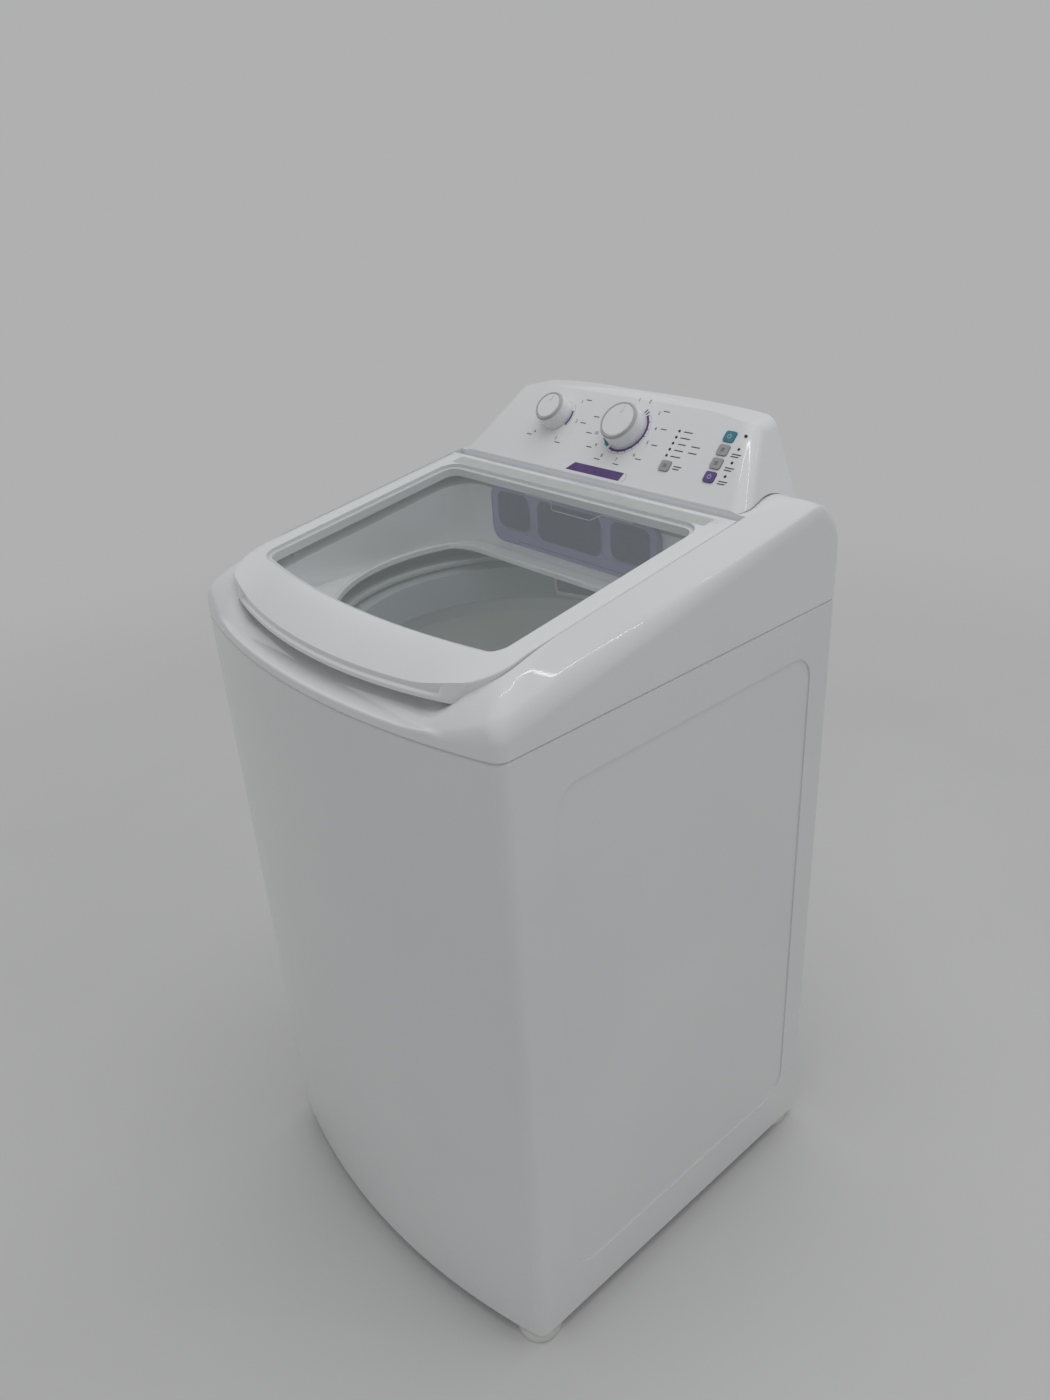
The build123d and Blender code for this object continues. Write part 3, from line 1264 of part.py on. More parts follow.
def make_drive_belt():
    middle = PULLEY_TOP - PULLEY_WIDTH / 2
    low, high = middle - BELT_WIDTH / 2, middle + BELT_WIDTH / 2
    belt = prism(belt_loop(BELT_THICK), low, high) - prism(belt_loop(0), low, high)
    return Pos(0, TUB_Y, 0) * belt


def make_capacitor():
    x, y = CAPACITOR_PLACE
    return rod(CAPACITOR_RADIUS, DRIVE_TOP - CAPACITOR_HEIGHT, DRIVE_TOP, x, TUB_Y + y)


# Drain


def make_drain_pump():
    low = DRIVE_TOP - PUMP_HEIGHT
    body = rod(PUMP_RADIUS, low, DRIVE_TOP, PUMP_X, PUMP_Y)
    room_low = outlet_height() - IMPELLER_HEIGHT / 2 - PUMP_WALL
    room_high = outlet_height() + IMPELLER_HEIGHT / 2 + PUMP_WALL
    body += lying(SPIGOT_RADIUS, PUMP_Y, PUMP_Y + PUMP_RADIUS + 2 * SPIGOT_RADIUS, PUMP_X, outlet_height())
    body -= rod(IMPELLER_RADIUS + PUMP_WALL, room_low, room_high, PUMP_X, PUMP_Y)
    body -= lying(SPIGOT_BORE, PUMP_Y, PUMP_Y + WIDTH, PUMP_X, outlet_height())
    return body - rod(IMPELLER_SHAFT + RUN_FIT, low + PUMP_WALL, room_low + PUMP_WALL, PUMP_X, PUMP_Y)


def make_pump_impeller():
    z = outlet_height()
    half = IMPELLER_HEIGHT / 2
    low = DRIVE_TOP - PUMP_HEIGHT + PUMP_WALL + SHEET
    wheel = rod(IMPELLER_SHAFT, low, z + half, PUMP_X, PUMP_Y)
    wheel += rod(2 * IMPELLER_SHAFT, z - half, z + half, PUMP_X, PUMP_Y)
    blade = block(0, IMPELLER_RADIUS, -IMPELLER_SHAFT / 2, IMPELLER_SHAFT / 2, z - half, z + half)
    for i in range(IMPELLER_BLADES):
        wheel += Pos(PUMP_X, PUMP_Y, 0) * Rot(0, 0, 360 * i / IMPELLER_BLADES) * blade
    return wheel


def outlet_inner():
    return BACK_Y - OUTLET_FLANGE


def make_drain_outlet():
    """Bulkhead spigot through the back panel."""
    z = outlet_height()
    spigot = lying(SPIGOT_RADIUS, outlet_inner() - 2 * SPIGOT_RADIUS, BACK_Y + PORT_REACH, PUMP_X, z)
    flange = lying(OUTLET_FLANGE, BACK_Y - BASE_WALL, BACK_Y - SEAT_GAP / 4, PUMP_X, z)
    outer = BACK_Y + SHEET
    collar = lying(SPIGOT_RADIUS + BASE_WALL, outer + SEAT_GAP / 4, outer + BASE_WALL, PUMP_X, z)
    return spigot + flange + collar - lying(SPIGOT_BORE, outlet_inner() - WIDTH, BACK_Y + WIDTH, PUMP_X, z)


def make_drain_hose():
    z = outlet_height()
    start = PUMP_Y + PUMP_RADIUS + SPIGOT_RADIUS / 2
    end = outlet_inner() - SPIGOT_RADIUS
    bore = SPIGOT_RADIUS + SEAT_GAP
    return lying(bore + HOSE_WALL, start, end, PUMP_X, z) - lying(bore, start, end, PUMP_X, z)


def make_cord_gland():
    body = lying(GLAND_RADIUS, BACK_Y - 2 * BASE_WALL, BACK_Y + PORT_REACH / 2, GLAND_X, GLAND_HEIGHT)
    outer = BACK_Y + SHEET
    flange = lying(GLAND_RADIUS + BASE_WALL, outer + SEAT_GAP / 4, outer + BASE_WALL, GLAND_X, GLAND_HEIGHT)
    return body + flange - lying(GLAND_BORE, BACK_Y - WIDTH, BACK_Y + WIDTH, GLAND_X, GLAND_HEIGHT)


# Suspension


def make_corner_brackets():
    """Corner plates welded inside the cabinet; each rod head hangs on one."""
    inner = prism(plan_face(SHEET + SEAT_GAP / 4), HANGER_HEIGHT - CORNER_BRACKET_THICK, HANGER_HEIGHT)
    brackets = Part()
    for x, y in ROD_PLACES:
        plate = Pos(x, y) * Rectangle(2 * CORNER_BRACKET, 2 * CORNER_BRACKET)
        solid = prism(plate, HANGER_HEIGHT - CORNER_BRACKET_THICK, HANGER_HEIGHT) & inner
        solid -= rod(TUB_RADIUS + 2 * ROD_HEAD, HANGER_HEIGHT - WIDTH, SEAM_HEIGHT, 0, TUB_Y)
        brackets += solid - rod(ROD_RADIUS + SEAT_GAP, HANGER_HEIGHT - WIDTH, SEAM_HEIGHT, x, y)
    return brackets


def make_suspension_rods():
    rods = Part()
    for x, y in ROD_PLACES:
        head = rod(ROD_HEAD, HANGER_HEIGHT, HANGER_HEIGHT + ROD_HEAD_HEIGHT, x, y)
        cup = rod(CUP_RADIUS, ROD_FOOT, ROD_FOOT + CUP_HEIGHT, x, y)
        rods += head + cup + rod(ROD_RADIUS, ROD_FOOT, HANGER_HEIGHT, x, y)
    return rods


def make_suspension_springs():
    springs = Part()
    low = ROD_FOOT + CUP_HEIGHT
    for x, y in ROD_PLACES:
        springs += tube(SPRING_RADIUS, SPRING_RADIUS - SPRING_WALL, low, LUG_LOW, x, y)
    return springs


# The assembly
PARTS = {
    "cabinet_shell": make_cabinet_shell(),
    "back_panel": make_back_panel(),
    "back_panel_screws": make_back_panel_screws(),
    "base_frame": make_base_frame(),
    "levelling_foot_left": make_foot(-FOOT_X, FOOT_FRONT_Y),
    "levelling_foot_right": make_foot(FOOT_X, FOOT_FRONT_Y),
    "rear_feet": Part() + [make_foot(sx * FOOT_X, FOOT_REAR_Y) for sx in (-1, 1)],
    "top_cover": make_top_cover(),
    "lid_frame": make_lid_frame(),
    "lid_glass": make_lid_glass(),
    "lid_hinge_pins": make_lid_hinge_pins(),
    "lid_bumpers": make_lid_bumpers(),
    "console": make_console(),
    "program_knob": make_knob(PROGRAM_KNOB, PROGRAM_KNOB_RADIUS),
    "program_knob_bezel": make_knob_bezel(PROGRAM_KNOB, PROGRAM_KNOB_RADIUS),
    "program_selector": make_selector(PROGRAM_KNOB),
    "level_knob": make_knob(LEVEL_KNOB, LEVEL_KNOB_RADIUS),
    "level_knob_bezel": make_knob_bezel(LEVEL_KNOB, LEVEL_KNOB_RADIUS),
    "level_selector": make_selector(LEVEL_KNOB),
    "indicator_lamps": make_indicator_lamps(),
    "control_board": make_control_board(),
    "button_switches": make_button_switches(),
    "dispenser_drawer": make_dispenser_drawer(),
    "dispenser_housing": make_dispenser_housing(),
    "inlet_valve": make_inlet_valve(),
    "fill_hose": make_fill_hose(),
    "outer_tub": make_outer_tub(),
    "tub_ring": make_tub_ring(),
    "basket": make_basket(),
    "basket_rim": make_basket_rim(),
    "balance_ring": make_balance_ring(),
    "lint_filter": make_lint_filter(),
    "basket_hub": make_basket_hub(),
    "spin_tube": make_spin_tube(),
    "drive_shaft": make_drive_shaft(),
    "tub_bearings": make_tub_bearings(),
    "tub_seal": make_tub_seal(),
    "agitator": make_agitator(),
    "agitator_cap": make_agitator_cap(),
    "agitator_bolt": make_agitator_bolt(),
    "drive_bracket": make_drive_bracket(),
    "gear_case": make_gear_case(),
    "driven_pulley": make_driven_pulley(),
    "drive_belt": make_drive_belt(),
    "drive_motor": make_drive_motor(),
    "motor_pulley": make_motor_pulley(),
    "capacitor": make_capacitor(),
    "drain_pump": make_drain_pump(),
    "pump_impeller": make_pump_impeller(),
    "drain_hose": make_drain_hose(),
    "drain_outlet": make_drain_outlet(),
    "cord_gland": make_cord_gland(),
    "corner_brackets": make_corner_brackets(),
    "suspension_rods": make_suspension_rods(),
    "suspension_springs": make_suspension_springs(),
}
for name, (x, up) in BUTTON_PLACES.items():
    PARTS[name] = make_button(x, up)

os.makedirs("parts", exist_ok=True)
for name, solid in PARTS.items():
    export_step(solid, f"parts/{name}.step")
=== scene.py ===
from math import cos, pi, radians, sin, sqrt, tan

import bmesh
import bpy
from mathutils import Matrix, Vector


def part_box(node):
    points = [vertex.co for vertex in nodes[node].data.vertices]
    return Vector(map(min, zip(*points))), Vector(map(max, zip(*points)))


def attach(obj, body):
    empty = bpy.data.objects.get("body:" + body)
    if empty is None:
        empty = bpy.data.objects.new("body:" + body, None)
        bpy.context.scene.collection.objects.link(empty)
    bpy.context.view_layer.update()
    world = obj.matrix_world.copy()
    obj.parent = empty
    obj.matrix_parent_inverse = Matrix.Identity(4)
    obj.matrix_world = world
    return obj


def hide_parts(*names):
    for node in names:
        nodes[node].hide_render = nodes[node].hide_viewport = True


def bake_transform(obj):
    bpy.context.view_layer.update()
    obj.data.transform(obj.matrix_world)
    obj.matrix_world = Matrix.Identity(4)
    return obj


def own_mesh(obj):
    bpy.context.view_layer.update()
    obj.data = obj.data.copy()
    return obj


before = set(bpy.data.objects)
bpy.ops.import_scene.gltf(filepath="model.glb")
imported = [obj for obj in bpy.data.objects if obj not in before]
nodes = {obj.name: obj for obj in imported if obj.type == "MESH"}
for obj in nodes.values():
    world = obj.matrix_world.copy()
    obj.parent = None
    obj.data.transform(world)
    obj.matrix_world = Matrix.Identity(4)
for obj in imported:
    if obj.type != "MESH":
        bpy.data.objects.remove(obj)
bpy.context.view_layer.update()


# The cabinet is one wrap of steel sheet with pressed side panels, coated in gloss white enamel
# that levels to a faint orange peel. It carries everything else and stands on the base frame.
ENAMEL_WHITE = (0.80, 0.81, 0.82, 1)
ENAMEL_SHADE = (0.77, 0.78, 0.79, 1)


def new_finish(name):
    """A material with its shader and a position lookup, ready for more nodes."""
    finish = bpy.data.materials.new(name)
    finish.use_nodes = True
    tree = finish.node_tree
    shader = tree.nodes["Principled BSDF"]
    place = tree.nodes.new("ShaderNodeTexCoord").outputs["Object"]
    return finish, tree, shader, place


def mottle(tree, place, low, high, scale, socket):
    """Lets a colour drift between two near tones over the surface."""
    noise = tree.nodes.new("ShaderNodeTexNoise")
    noise.inputs["Scale"].default_value = scale
    noise.inputs["Detail"].default_value = 3
    tree.links.new(place, noise.inputs["Vector"])
    ramp = tree.nodes.new("ShaderNodeValToRGB")
    ramp.color_ramp.elements[0].position = 0.35
    ramp.color_ramp.elements[0].color = low
    ramp.color_ramp.elements[1].position = 0.65
    ramp.color_ramp.elements[1].color = high
    tree.links.new(noise.outputs["Fac"], ramp.inputs["Fac"])
    tree.links.new(ramp.outputs["Color"], socket)


def uneven_gloss(tree, place, low, high, scale, shader):
    """Lets the gloss vary a little, as on a moulded or coated surface."""
    noise = tree.nodes.new("ShaderNodeTexNoise")
    noise.inputs["Scale"].default_value = scale
    tree.links.new(place, noise.inputs["Vector"])
    spread = tree.nodes.new("ShaderNodeMapRange")
    spread.inputs["To Min"].default_value = low
    spread.inputs["To Max"].default_value = high
    tree.links.new(noise.outputs["Fac"], spread.inputs["Value"])
    tree.links.new(spread.outputs["Result"], shader.inputs["Roughness"])


def grain(tree, place, scale, depth, strength, shader):
    """A fine surface relief: orange peel in paint, spark texture in a moulding."""
    noise = tree.nodes.new("ShaderNodeTexNoise")
    noise.inputs["Scale"].default_value = scale
    noise.inputs["Detail"].default_value = 2
    tree.links.new(place, noise.inputs["Vector"])
    bump = tree.nodes.new("ShaderNodeBump")
    bump.inputs["Strength"].default_value = strength
    bump.inputs["Distance"].default_value = depth
    tree.links.new(noise.outputs["Fac"], bump.inputs["Height"])
    tree.links.new(bump.outputs["Normal"], shader.inputs["Normal"])


def coat_node(finish, *names):
    """Gives CAD nodes a finish."""
    for name in names:
        nodes[name].data.materials.clear()
        nodes[name].data.materials.append(finish)


enamel, tree, shader, place = new_finish("white_enamel")
mottle(tree, place, ENAMEL_SHADE, ENAMEL_WHITE, 3.0, shader.inputs["Base Color"])
uneven_gloss(tree, place, 0.16, 0.24, 9.0, shader)
grain(tree, place, 420.0, 0.00002, 0.12, shader)
shader.inputs["Coat Weight"].default_value = 0.5
shader.inputs["Coat Roughness"].default_value = 0.05
coat_node(enamel, "cabinet_shell")


# The top cover is one large gloss white moulding that drops over the cabinet's rim. It has an upright skirt,
# rolled shoulders, a finger ledge that sweeps up into them, the lid's seat and the well round the tub's mouth.
MILLIMETRE = 0.001
HALF_WIDE = 270.0
SEAM = 830.0
BOW_RADIUS = 888.86
BOW_CENTRE = 601.86
LID_SLOPE = radians(8.77)
DECK_HEIGHT = 934.6
SEAT_HALF = 236.5
SEAT_DROP = 28.3
SIDE_CREST = 908.2
SIDE_CLIMB = 0.19
LEAST_BLEND = 0.1
FRONT_ROLL = -140.0
FRONT_ROLL_DEPTH = 105.0
FRONT_ROLL_DROP = 30.0
FRONT_BLEND = 14.0
FRONT_BLEND_DEPTH = 65.0
REAR_ROLL = 177.4
REAR_ROLL_RADIUS = 80.0
REAR_BLEND = 6.0
REAR_BLEND_DEPTH = 20.0
LEDGE = 848.0
LEDGE_RISE = 7.0
LEDGE_DEPTH = 80.0
LEDGE_BACK = -120.0
LEDGE_BLEND = 16.0
BOWL_START = 154.0
BOWL_RADIUS = 62.0
BOWL_REACH = 61.0
BOWL_STEEPNESS = 6
TUB_MIDDLE = 5.0


def deck(y):
    """Height of the plane that the lid's top lies in."""
    return DECK_HEIGHT + tan(LID_SLOPE) * y


def lower_of(a, b, blend):
    """The lower of two heights, with the ridge between them rounded."""
    near = max(blend - abs(a - b), 0) / blend
    return min(a, b) - near * near * blend / 4


def rolled_end(y, start, radius):
    """Height of an edge that rolls over from the deck at a depth."""
    middle = start + radius * sin(LID_SLOPE)
    return deck(start) - radius * cos(LID_SLOPE) + sqrt(max(radius**2 - (y - middle) ** 2, 0.0))


def cover_height(x, y):
    """Height of the cover's outer face over a point of the plan, before its outer edge is rounded."""
    out = max(abs(x) - SEAT_HALF, 0) / (HALF_WIDE - SEAT_HALF)
    height = deck(y) + (SIDE_CREST + SIDE_CLIMB * y - deck(y)) * out
    if y < FRONT_ROLL:
        before = FRONT_ROLL - y
        roll = deck(y) - FRONT_ROLL_DROP * (before / FRONT_ROLL_DEPTH) ** 3
        blend = LEAST_BLEND + FRONT_BLEND * min(before / FRONT_BLEND_DEPTH, 1.0)
        height = max(lower_of(height, roll, blend), LEDGE)
    if y > REAR_ROLL:
        blend = LEAST_BLEND + REAR_BLEND * min((y - REAR_ROLL) / REAR_BLEND_DEPTH, 1.0)
        height = lower_of(height, rolled_end(y, REAR_ROLL, REAR_ROLL_RADIUS), blend)
    behind = y - BOW_CENTRE + sqrt(BOW_RADIUS**2 - x * x)
    rise = max(abs(x) - BOWL_START, 0.0)
    bowl = BOWL_RADIUS - sqrt(BOWL_RADIUS**2 - min(rise, BOWL_REACH) ** 2)
    bowl += max(rise - BOWL_REACH, 0) * BOWL_STEEPNESS
    ledge = LEDGE + LEDGE_RISE * min(max(behind, 0) / LEDGE_DEPTH, 1.0) + bowl
    return lower_of(height, ledge, LEDGE_BLEND) if y < LEDGE_BACK else height


def spread(first, last, count):
    """Evenly spaced values, without the last one."""
    return [first + (last - first) * i / count for i in range(count)]


def on_arc(middle, radius, degrees):
    """A point of an arc in the plan; the angle counts from the right towards the back."""
    return middle[0] + radius * cos(radians(degrees)), middle[1] + radius * sin(radians(degrees))


SKIRT_BOW_HALF = 258.66
SKIRT_CORNER, SKIRT_CORNER_RADIUS, SKIRT_CORNER_TURN = (254.0, -233.2), 16, -73.1
SKIRT_REAR_CORNER, SKIRT_REAR_RADIUS = (262.0, 261.0), 8
SEAT_FRONT, SEAT_FRONT_HALF, SEAT_BOW = -262.0, 191.3, 1430
SEAT_CORNER, SEAT_CORNER_RADIUS, SEAT_CORNER_TURN, SEAT_CORNER_SHIFT = (175.0, -187.2), 61.5, -74.6, 9.9
SEAT_BACK = 137.0
FOOT_FRONT, FOOT_FRONT_HALF, FOOT_BOW = -207.0, 178.0, 1400
FOOT_CORNER, FOOT_SIDE = -184.4, (233.5, -186.0)
FOOT_BACK = 134.0
WELL_CORNER, WELL_CORNER_RADIUS = (148.0, -135.0), 60
WELL_REAR_CORNER, WELL_REAR_RADIUS = (168.0, 72.4), 40
WELL_HALF = 207.5
SLOT_EDGE = 0.3438
REAR_STEP = 0.5


def half_outlines():
    """The right half of the cover's rings, front to back: skirt, lid seat edge, seat foot and well."""
    skirt, edge, foot, well = [], [], [], []
    well_side = WELL_CORNER[0] + WELL_CORNER_RADIUS
    well_back = WELL_REAR_CORNER[1] + WELL_REAR_RADIUS
    for t in spread(0, 1, 30):
        x = SKIRT_BOW_HALF * t
        skirt.append((x, BOW_CENTRE - sqrt(BOW_RADIUS**2 - x * x)))
        x = SEAT_FRONT_HALF * t
        edge.append((x, SEAT_FRONT + x * x / SEAT_BOW))
        x = FOOT_FRONT_HALF * t
        foot.append((x, FOOT_FRONT + x * x / FOOT_BOW))
        well.append((WELL_CORNER[0] * t, WELL_CORNER[1] - WELL_CORNER_RADIUS))
    for t in spread(0, 1, 16):
        skirt.append(on_arc(SKIRT_CORNER, SKIRT_CORNER_RADIUS, SKIRT_CORNER_TURN * (1 - t)))
        x, y = on_arc(SEAT_CORNER, SEAT_CORNER_RADIUS, SEAT_CORNER_TURN * (1 - t))
        edge.append((x, y + SEAT_CORNER_SHIFT * (1 - t)))
        x, y = FOOT_SIDE
        foot.append((FOOT_FRONT_HALF + (x - FOOT_FRONT_HALF) * t, FOOT_CORNER + (y - FOOT_CORNER) * t))
        well.append(on_arc(WELL_CORNER, WELL_CORNER_RADIUS, -90 * (1 - t)))
    for t in spread(0, 1, 40):
        skirt.append((HALF_WIDE, SKIRT_CORNER[1] + (SKIRT_REAR_CORNER[1] - SKIRT_CORNER[1]) * t))
        edge.append((SEAT_HALF, SEAT_CORNER[1] + (SEAT_BACK - SEAT_CORNER[1]) * t))
        foot.append((FOOT_SIDE[0], FOOT_SIDE[1] + (FOOT_BACK - FOOT_SIDE[1]) * t))
        well.append((well_side, WELL_CORNER[1] + (WELL_REAR_CORNER[1] - WELL_CORNER[1]) * t))
    for t in spread(0, 1, 6):
        skirt.append(on_arc(SKIRT_REAR_CORNER, SKIRT_REAR_RADIUS, 90 * t))
        edge.append((SEAT_HALF - REAR_STEP * t, SEAT_BACK))
        foot.append((FOOT_SIDE[0] - REAR_STEP * t, FOOT_BACK))
        well.append(on_arc(WELL_REAR_CORNER, WELL_REAR_RADIUS, 90 * t))
    for t in [0, 0.18, SLOT_EDGE] + spread(SLOT_EDGE, 1, 14)[1:] + [1]:
        skirt.append((SKIRT_REAR_CORNER[0] * (1 - t), SKIRT_REAR_CORNER[1] + SKIRT_REAR_RADIUS))
        edge.append(((SEAT_HALF - REAR_STEP) * (1 - t), SEAT_BACK))
        foot.append(((FOOT_SIDE[0] - REAR_STEP) * (1 - t), FOOT_BACK))
        well.append((min(WELL_HALF * (1 - t), WELL_REAR_CORNER[0] - WELL_REAR_RADIUS * t / 2), well_back))
    return skirt, edge, foot, well


def mirrored(half):
    """A whole ring from its right half; the two middle points aren't repeated."""
    return half + [(-x, y) for x, y in half[-2:0:-1]]


MOUTH_RADIUS = 204.0
MOUTH_FRONT = -193.0
MOUTH_BACK = 80.0
MOUTH_BLEND = 0.2


def mouth_point(x, y, grow):
    """The point of the D shaped mouth that lies towards a point of the well's foot."""
    away = Vector((x, y - TUB_MIDDLE))
    share = MOUTH_RADIUS / away.length
    if away.y > 1.0:
        share = lower_of(share, MOUTH_BACK / away.y, MOUTH_BLEND)
    spot = away * share
    spot.y = max(spot.y, MOUTH_FRONT)
    spot += grow * away.normalized()
    return spot.x, spot.y + TUB_MIDDLE


SEAM_GROOVE = [(0.989, 0.0), (0.9997, 0.1), (0.994, 1.2), (0.991, 1.3), (0.991, 2.9), (1.0, 3.4)]
EDGE_ROWS = [0, 0.12, 0.45, 1.0, 1.8, 2.8, 4.0, 5.4, 7.0, 8.8, 10.8, 12.6, 14.2]
INNER_ROWS = 18
FASCIA_RADIUS = 3.0
CORNER_RADIUS_GAIN = 11.0
CORNER_FRONT = -150
CORNER_START, CORNER_LENGTH = 150.0, 100.0
SEAT_FOOT_SHARE = 0.998
SLOT_FOOT = 863.8
SLOT_BACK = 112.0
SLOT_HALF = 136.6
WELL_FLOOR = 845.0
MOUTH_LIP = [(9.0, 0.0), (6.5, 3.2), (4.5, 4.2), (1.6, 4.2), (0.4, 3.0), (0.0, -3.0)]
skirt, edge, foot, well = [mirrored(half) for half in half_outlines()]
rings = [[(x * share, y * share, SEAM + rise) for x, y in skirt] for share, rise in SEAM_GROOVE]
for row in range(len(EDGE_ROWS) + INNER_ROWS):
    ring = []
    for (x, y), (end_x, end_y) in zip(skirt, edge):
        reach = sqrt((end_x - x) ** 2 + (end_y - y) ** 2)
        inner = row - len(EDGE_ROWS) + 1
        rounded_part = EDGE_ROWS[-1]
        depth = EDGE_ROWS[row] if inner <= 0 else rounded_part + (reach - rounded_part) * inner / INNER_ROWS
        px, py = x + (end_x - x) * depth / reach, y + (end_y - y) * depth / reach
        corner = min(max((abs(x) - CORNER_START) / CORNER_LENGTH, 0.0), 1.0) if y < CORNER_FRONT else 1.0
        radius = FASCIA_RADIUS + CORNER_RADIUS_GAIN * corner**2
        fall = radius - sqrt(radius**2 - max(radius - depth, 0.0) ** 2)
        ring.append((px, py, cover_height(px, py) - fall))
    rings.append(ring)
for ring in (edge, foot):
    rings.append([(x, y, min(cover_height(x, y), deck(y) - SEAT_DROP)) for x, y in ring])
rings.append([(x * SEAT_FOOT_SHARE, y * SEAT_FOOT_SHARE, deck(y) - SEAT_DROP) for x, y in foot])
slot_level = len(rings)
rings.append([(x, y, deck(y) - SEAT_DROP) for x, y in well])
rings += [[(x, y, height) for x, y in well] for height in (SLOT_FOOT, WELL_FLOOR)]
for grow, height in MOUTH_LIP:
    rings.append([(*mouth_point(x, y, grow), WELL_FLOOR + height) for x, y in well])
cover = bmesh.new()
rows = [[cover.verts.new(Vector(point) * MILLIMETRE) for point in ring] for ring in rings]
for level, (outer, inner) in enumerate(zip(rows, rows[1:])):
    for i in range(len(outer)):
        j = (i + 1) % len(outer)
        (x, y, _), (next_x, _, _) = rings[level][i], rings[level][j]
        if level == slot_level and y > SLOT_BACK and max(abs(x), abs(next_x)) < SLOT_HALF:
            continue
        cover.faces.new((outer[i], outer[j], inner[j], inner[i]))


def band(shape, lower, upper):
    """A closed band of faces between two rings of points."""
    for i in range(len(lower)):
        j = (i + 1) % len(lower)
        shape.faces.new((lower[i], lower[j], upper[j], upper[i]))


def finished_piece(name, shape, finish, crease=None, smooth=True):
    """Turns drawn faces into a piece with its finish; edges sharper than the crease angle stay sharp."""
    bmesh.ops.recalc_face_normals(shape, faces=shape.faces)
    for face in shape.faces:
        face.smooth = smooth
    mesh = bpy.data.meshes.new(name)
    shape.to_mesh(mesh)
    shape.free()
    if crease:
        mesh.set_sharp_from_angle(angle=radians(crease))
    mesh.materials.append(finish)
    piece = bpy.data.objects.new(name, mesh)
    bpy.context.scene.collection.objects.link(piece)
    return piece


MOULDED_WHITE = (0.82, 0.83, 0.845, 1)
MOULDED_SHADE = (0.79, 0.80, 0.82, 1)
white_moulding, tree, shader, place = new_finish("gloss_white_moulding")
mottle(tree, place, MOULDED_SHADE, MOULDED_WHITE, 4.0, shader.inputs["Base Color"])
uneven_gloss(tree, place, 0.18, 0.26, 14.0, shader)
grain(tree, place, 650.0, 0.00001, 0.08, shader)
shader.inputs["Coat Weight"].default_value = 0.7
shader.inputs["Coat Roughness"].default_value = 0.03
top_cover = finished_piece("top_cover_moulding", cover, white_moulding, 38)
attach(top_cover, "cabinet")
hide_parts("top_cover")


# The back panel, corner brackets and motor bracket are zinc coated steel sheet, cut and pressed,
# with the dull spangle of the coating still on them. Sheet screws hold the panel.
ZINC_DARK = (0.36, 0.37, 0.38, 1)
ZINC_PALE = (0.50, 0.51, 0.52, 1)
zinc, tree, shader, place = new_finish("zinc_sheet")
spangle = tree.nodes.new("ShaderNodeTexVoronoi")
spangle.inputs["Scale"].default_value = 60.0
tree.links.new(place, spangle.inputs["Vector"])
tones = tree.nodes.new("ShaderNodeValToRGB")
tones.color_ramp.elements[0].color = ZINC_DARK
tones.color_ramp.elements[1].color = ZINC_PALE
tree.links.new(spangle.outputs["Color"], tones.inputs["Fac"])
tree.links.new(tones.outputs["Color"], shader.inputs["Base Color"])
uneven_gloss(tree, place, 0.38, 0.55, 25.0, shader)
shader.inputs["Metallic"].default_value = 0.85
coat_node(zinc, "back_panel", "corner_brackets", "drive_bracket")

BRIGHT_DARK = (0.48, 0.48, 0.49, 1)
BRIGHT_PALE = (0.60, 0.60, 0.61, 1)
bright_steel, tree, shader, place = new_finish("bright_steel")
mottle(tree, place, BRIGHT_DARK, BRIGHT_PALE, 40.0, shader.inputs["Base Color"])
uneven_gloss(tree, place, 0.22, 0.34, 120.0, shader)
shader.inputs["Metallic"].default_value = 1.0
coat_node(
    bright_steel, "back_panel_screws", "suspension_rods", "lid_hinge_pins", "spin_tube", "drive_shaft",
    "tub_bearings", "agitator_bolt",
)


# Each suspension rod carries a coil spring of round wire, squashed between the cup at its foot
# and the lug on the tub.
COIL_RADIUS = 0.0115
WIRE_RADIUS = 0.0016
COIL_TURNS = 7
TURN_STEPS = 20
WIRE_SIDES = 8
SPRING_INSET = 0.013
low_corner, high_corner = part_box("suspension_springs")
coil_low = low_corner.z + WIRE_RADIUS
coil_rise = high_corner.z - low_corner.z - 2 * WIRE_RADIUS
coils = bmesh.new()
for x in (low_corner.x, high_corner.x):
    for y in (low_corner.y, high_corner.y):
        inward = Vector((SPRING_INSET if x < 0 else -SPRING_INSET, SPRING_INSET if y < 0 else -SPRING_INSET, 0))
        centre = Vector((x, y, 0)) + inward
        rings = []
        for step in range(COIL_TURNS * TURN_STEPS + 1):
            turn = 2 * pi * step / TURN_STEPS
            spoke = Vector((cos(turn), sin(turn), 0))
            height = coil_low + coil_rise * step / (COIL_TURNS * TURN_STEPS)
            heart = centre + spoke * COIL_RADIUS + Vector((0, 0, height))
            around = [2 * pi * side / WIRE_SIDES for side in range(WIRE_SIDES)]
            rings.append([
                coils.verts.new(heart + WIRE_RADIUS * (cos(a) * spoke + sin(a) * Vector((0, 0, 1)))) for a in around
            ])
        for lower, upper in zip(rings, rings[1:]):
            band(coils, lower, upper)
        coils.faces.new(rings[0][::-1])
        coils.faces.new(rings[-1])
springs = finished_piece("coil_springs", coils, bright_steel)
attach(springs, "cabinet")
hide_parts("suspension_springs")
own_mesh(springs)


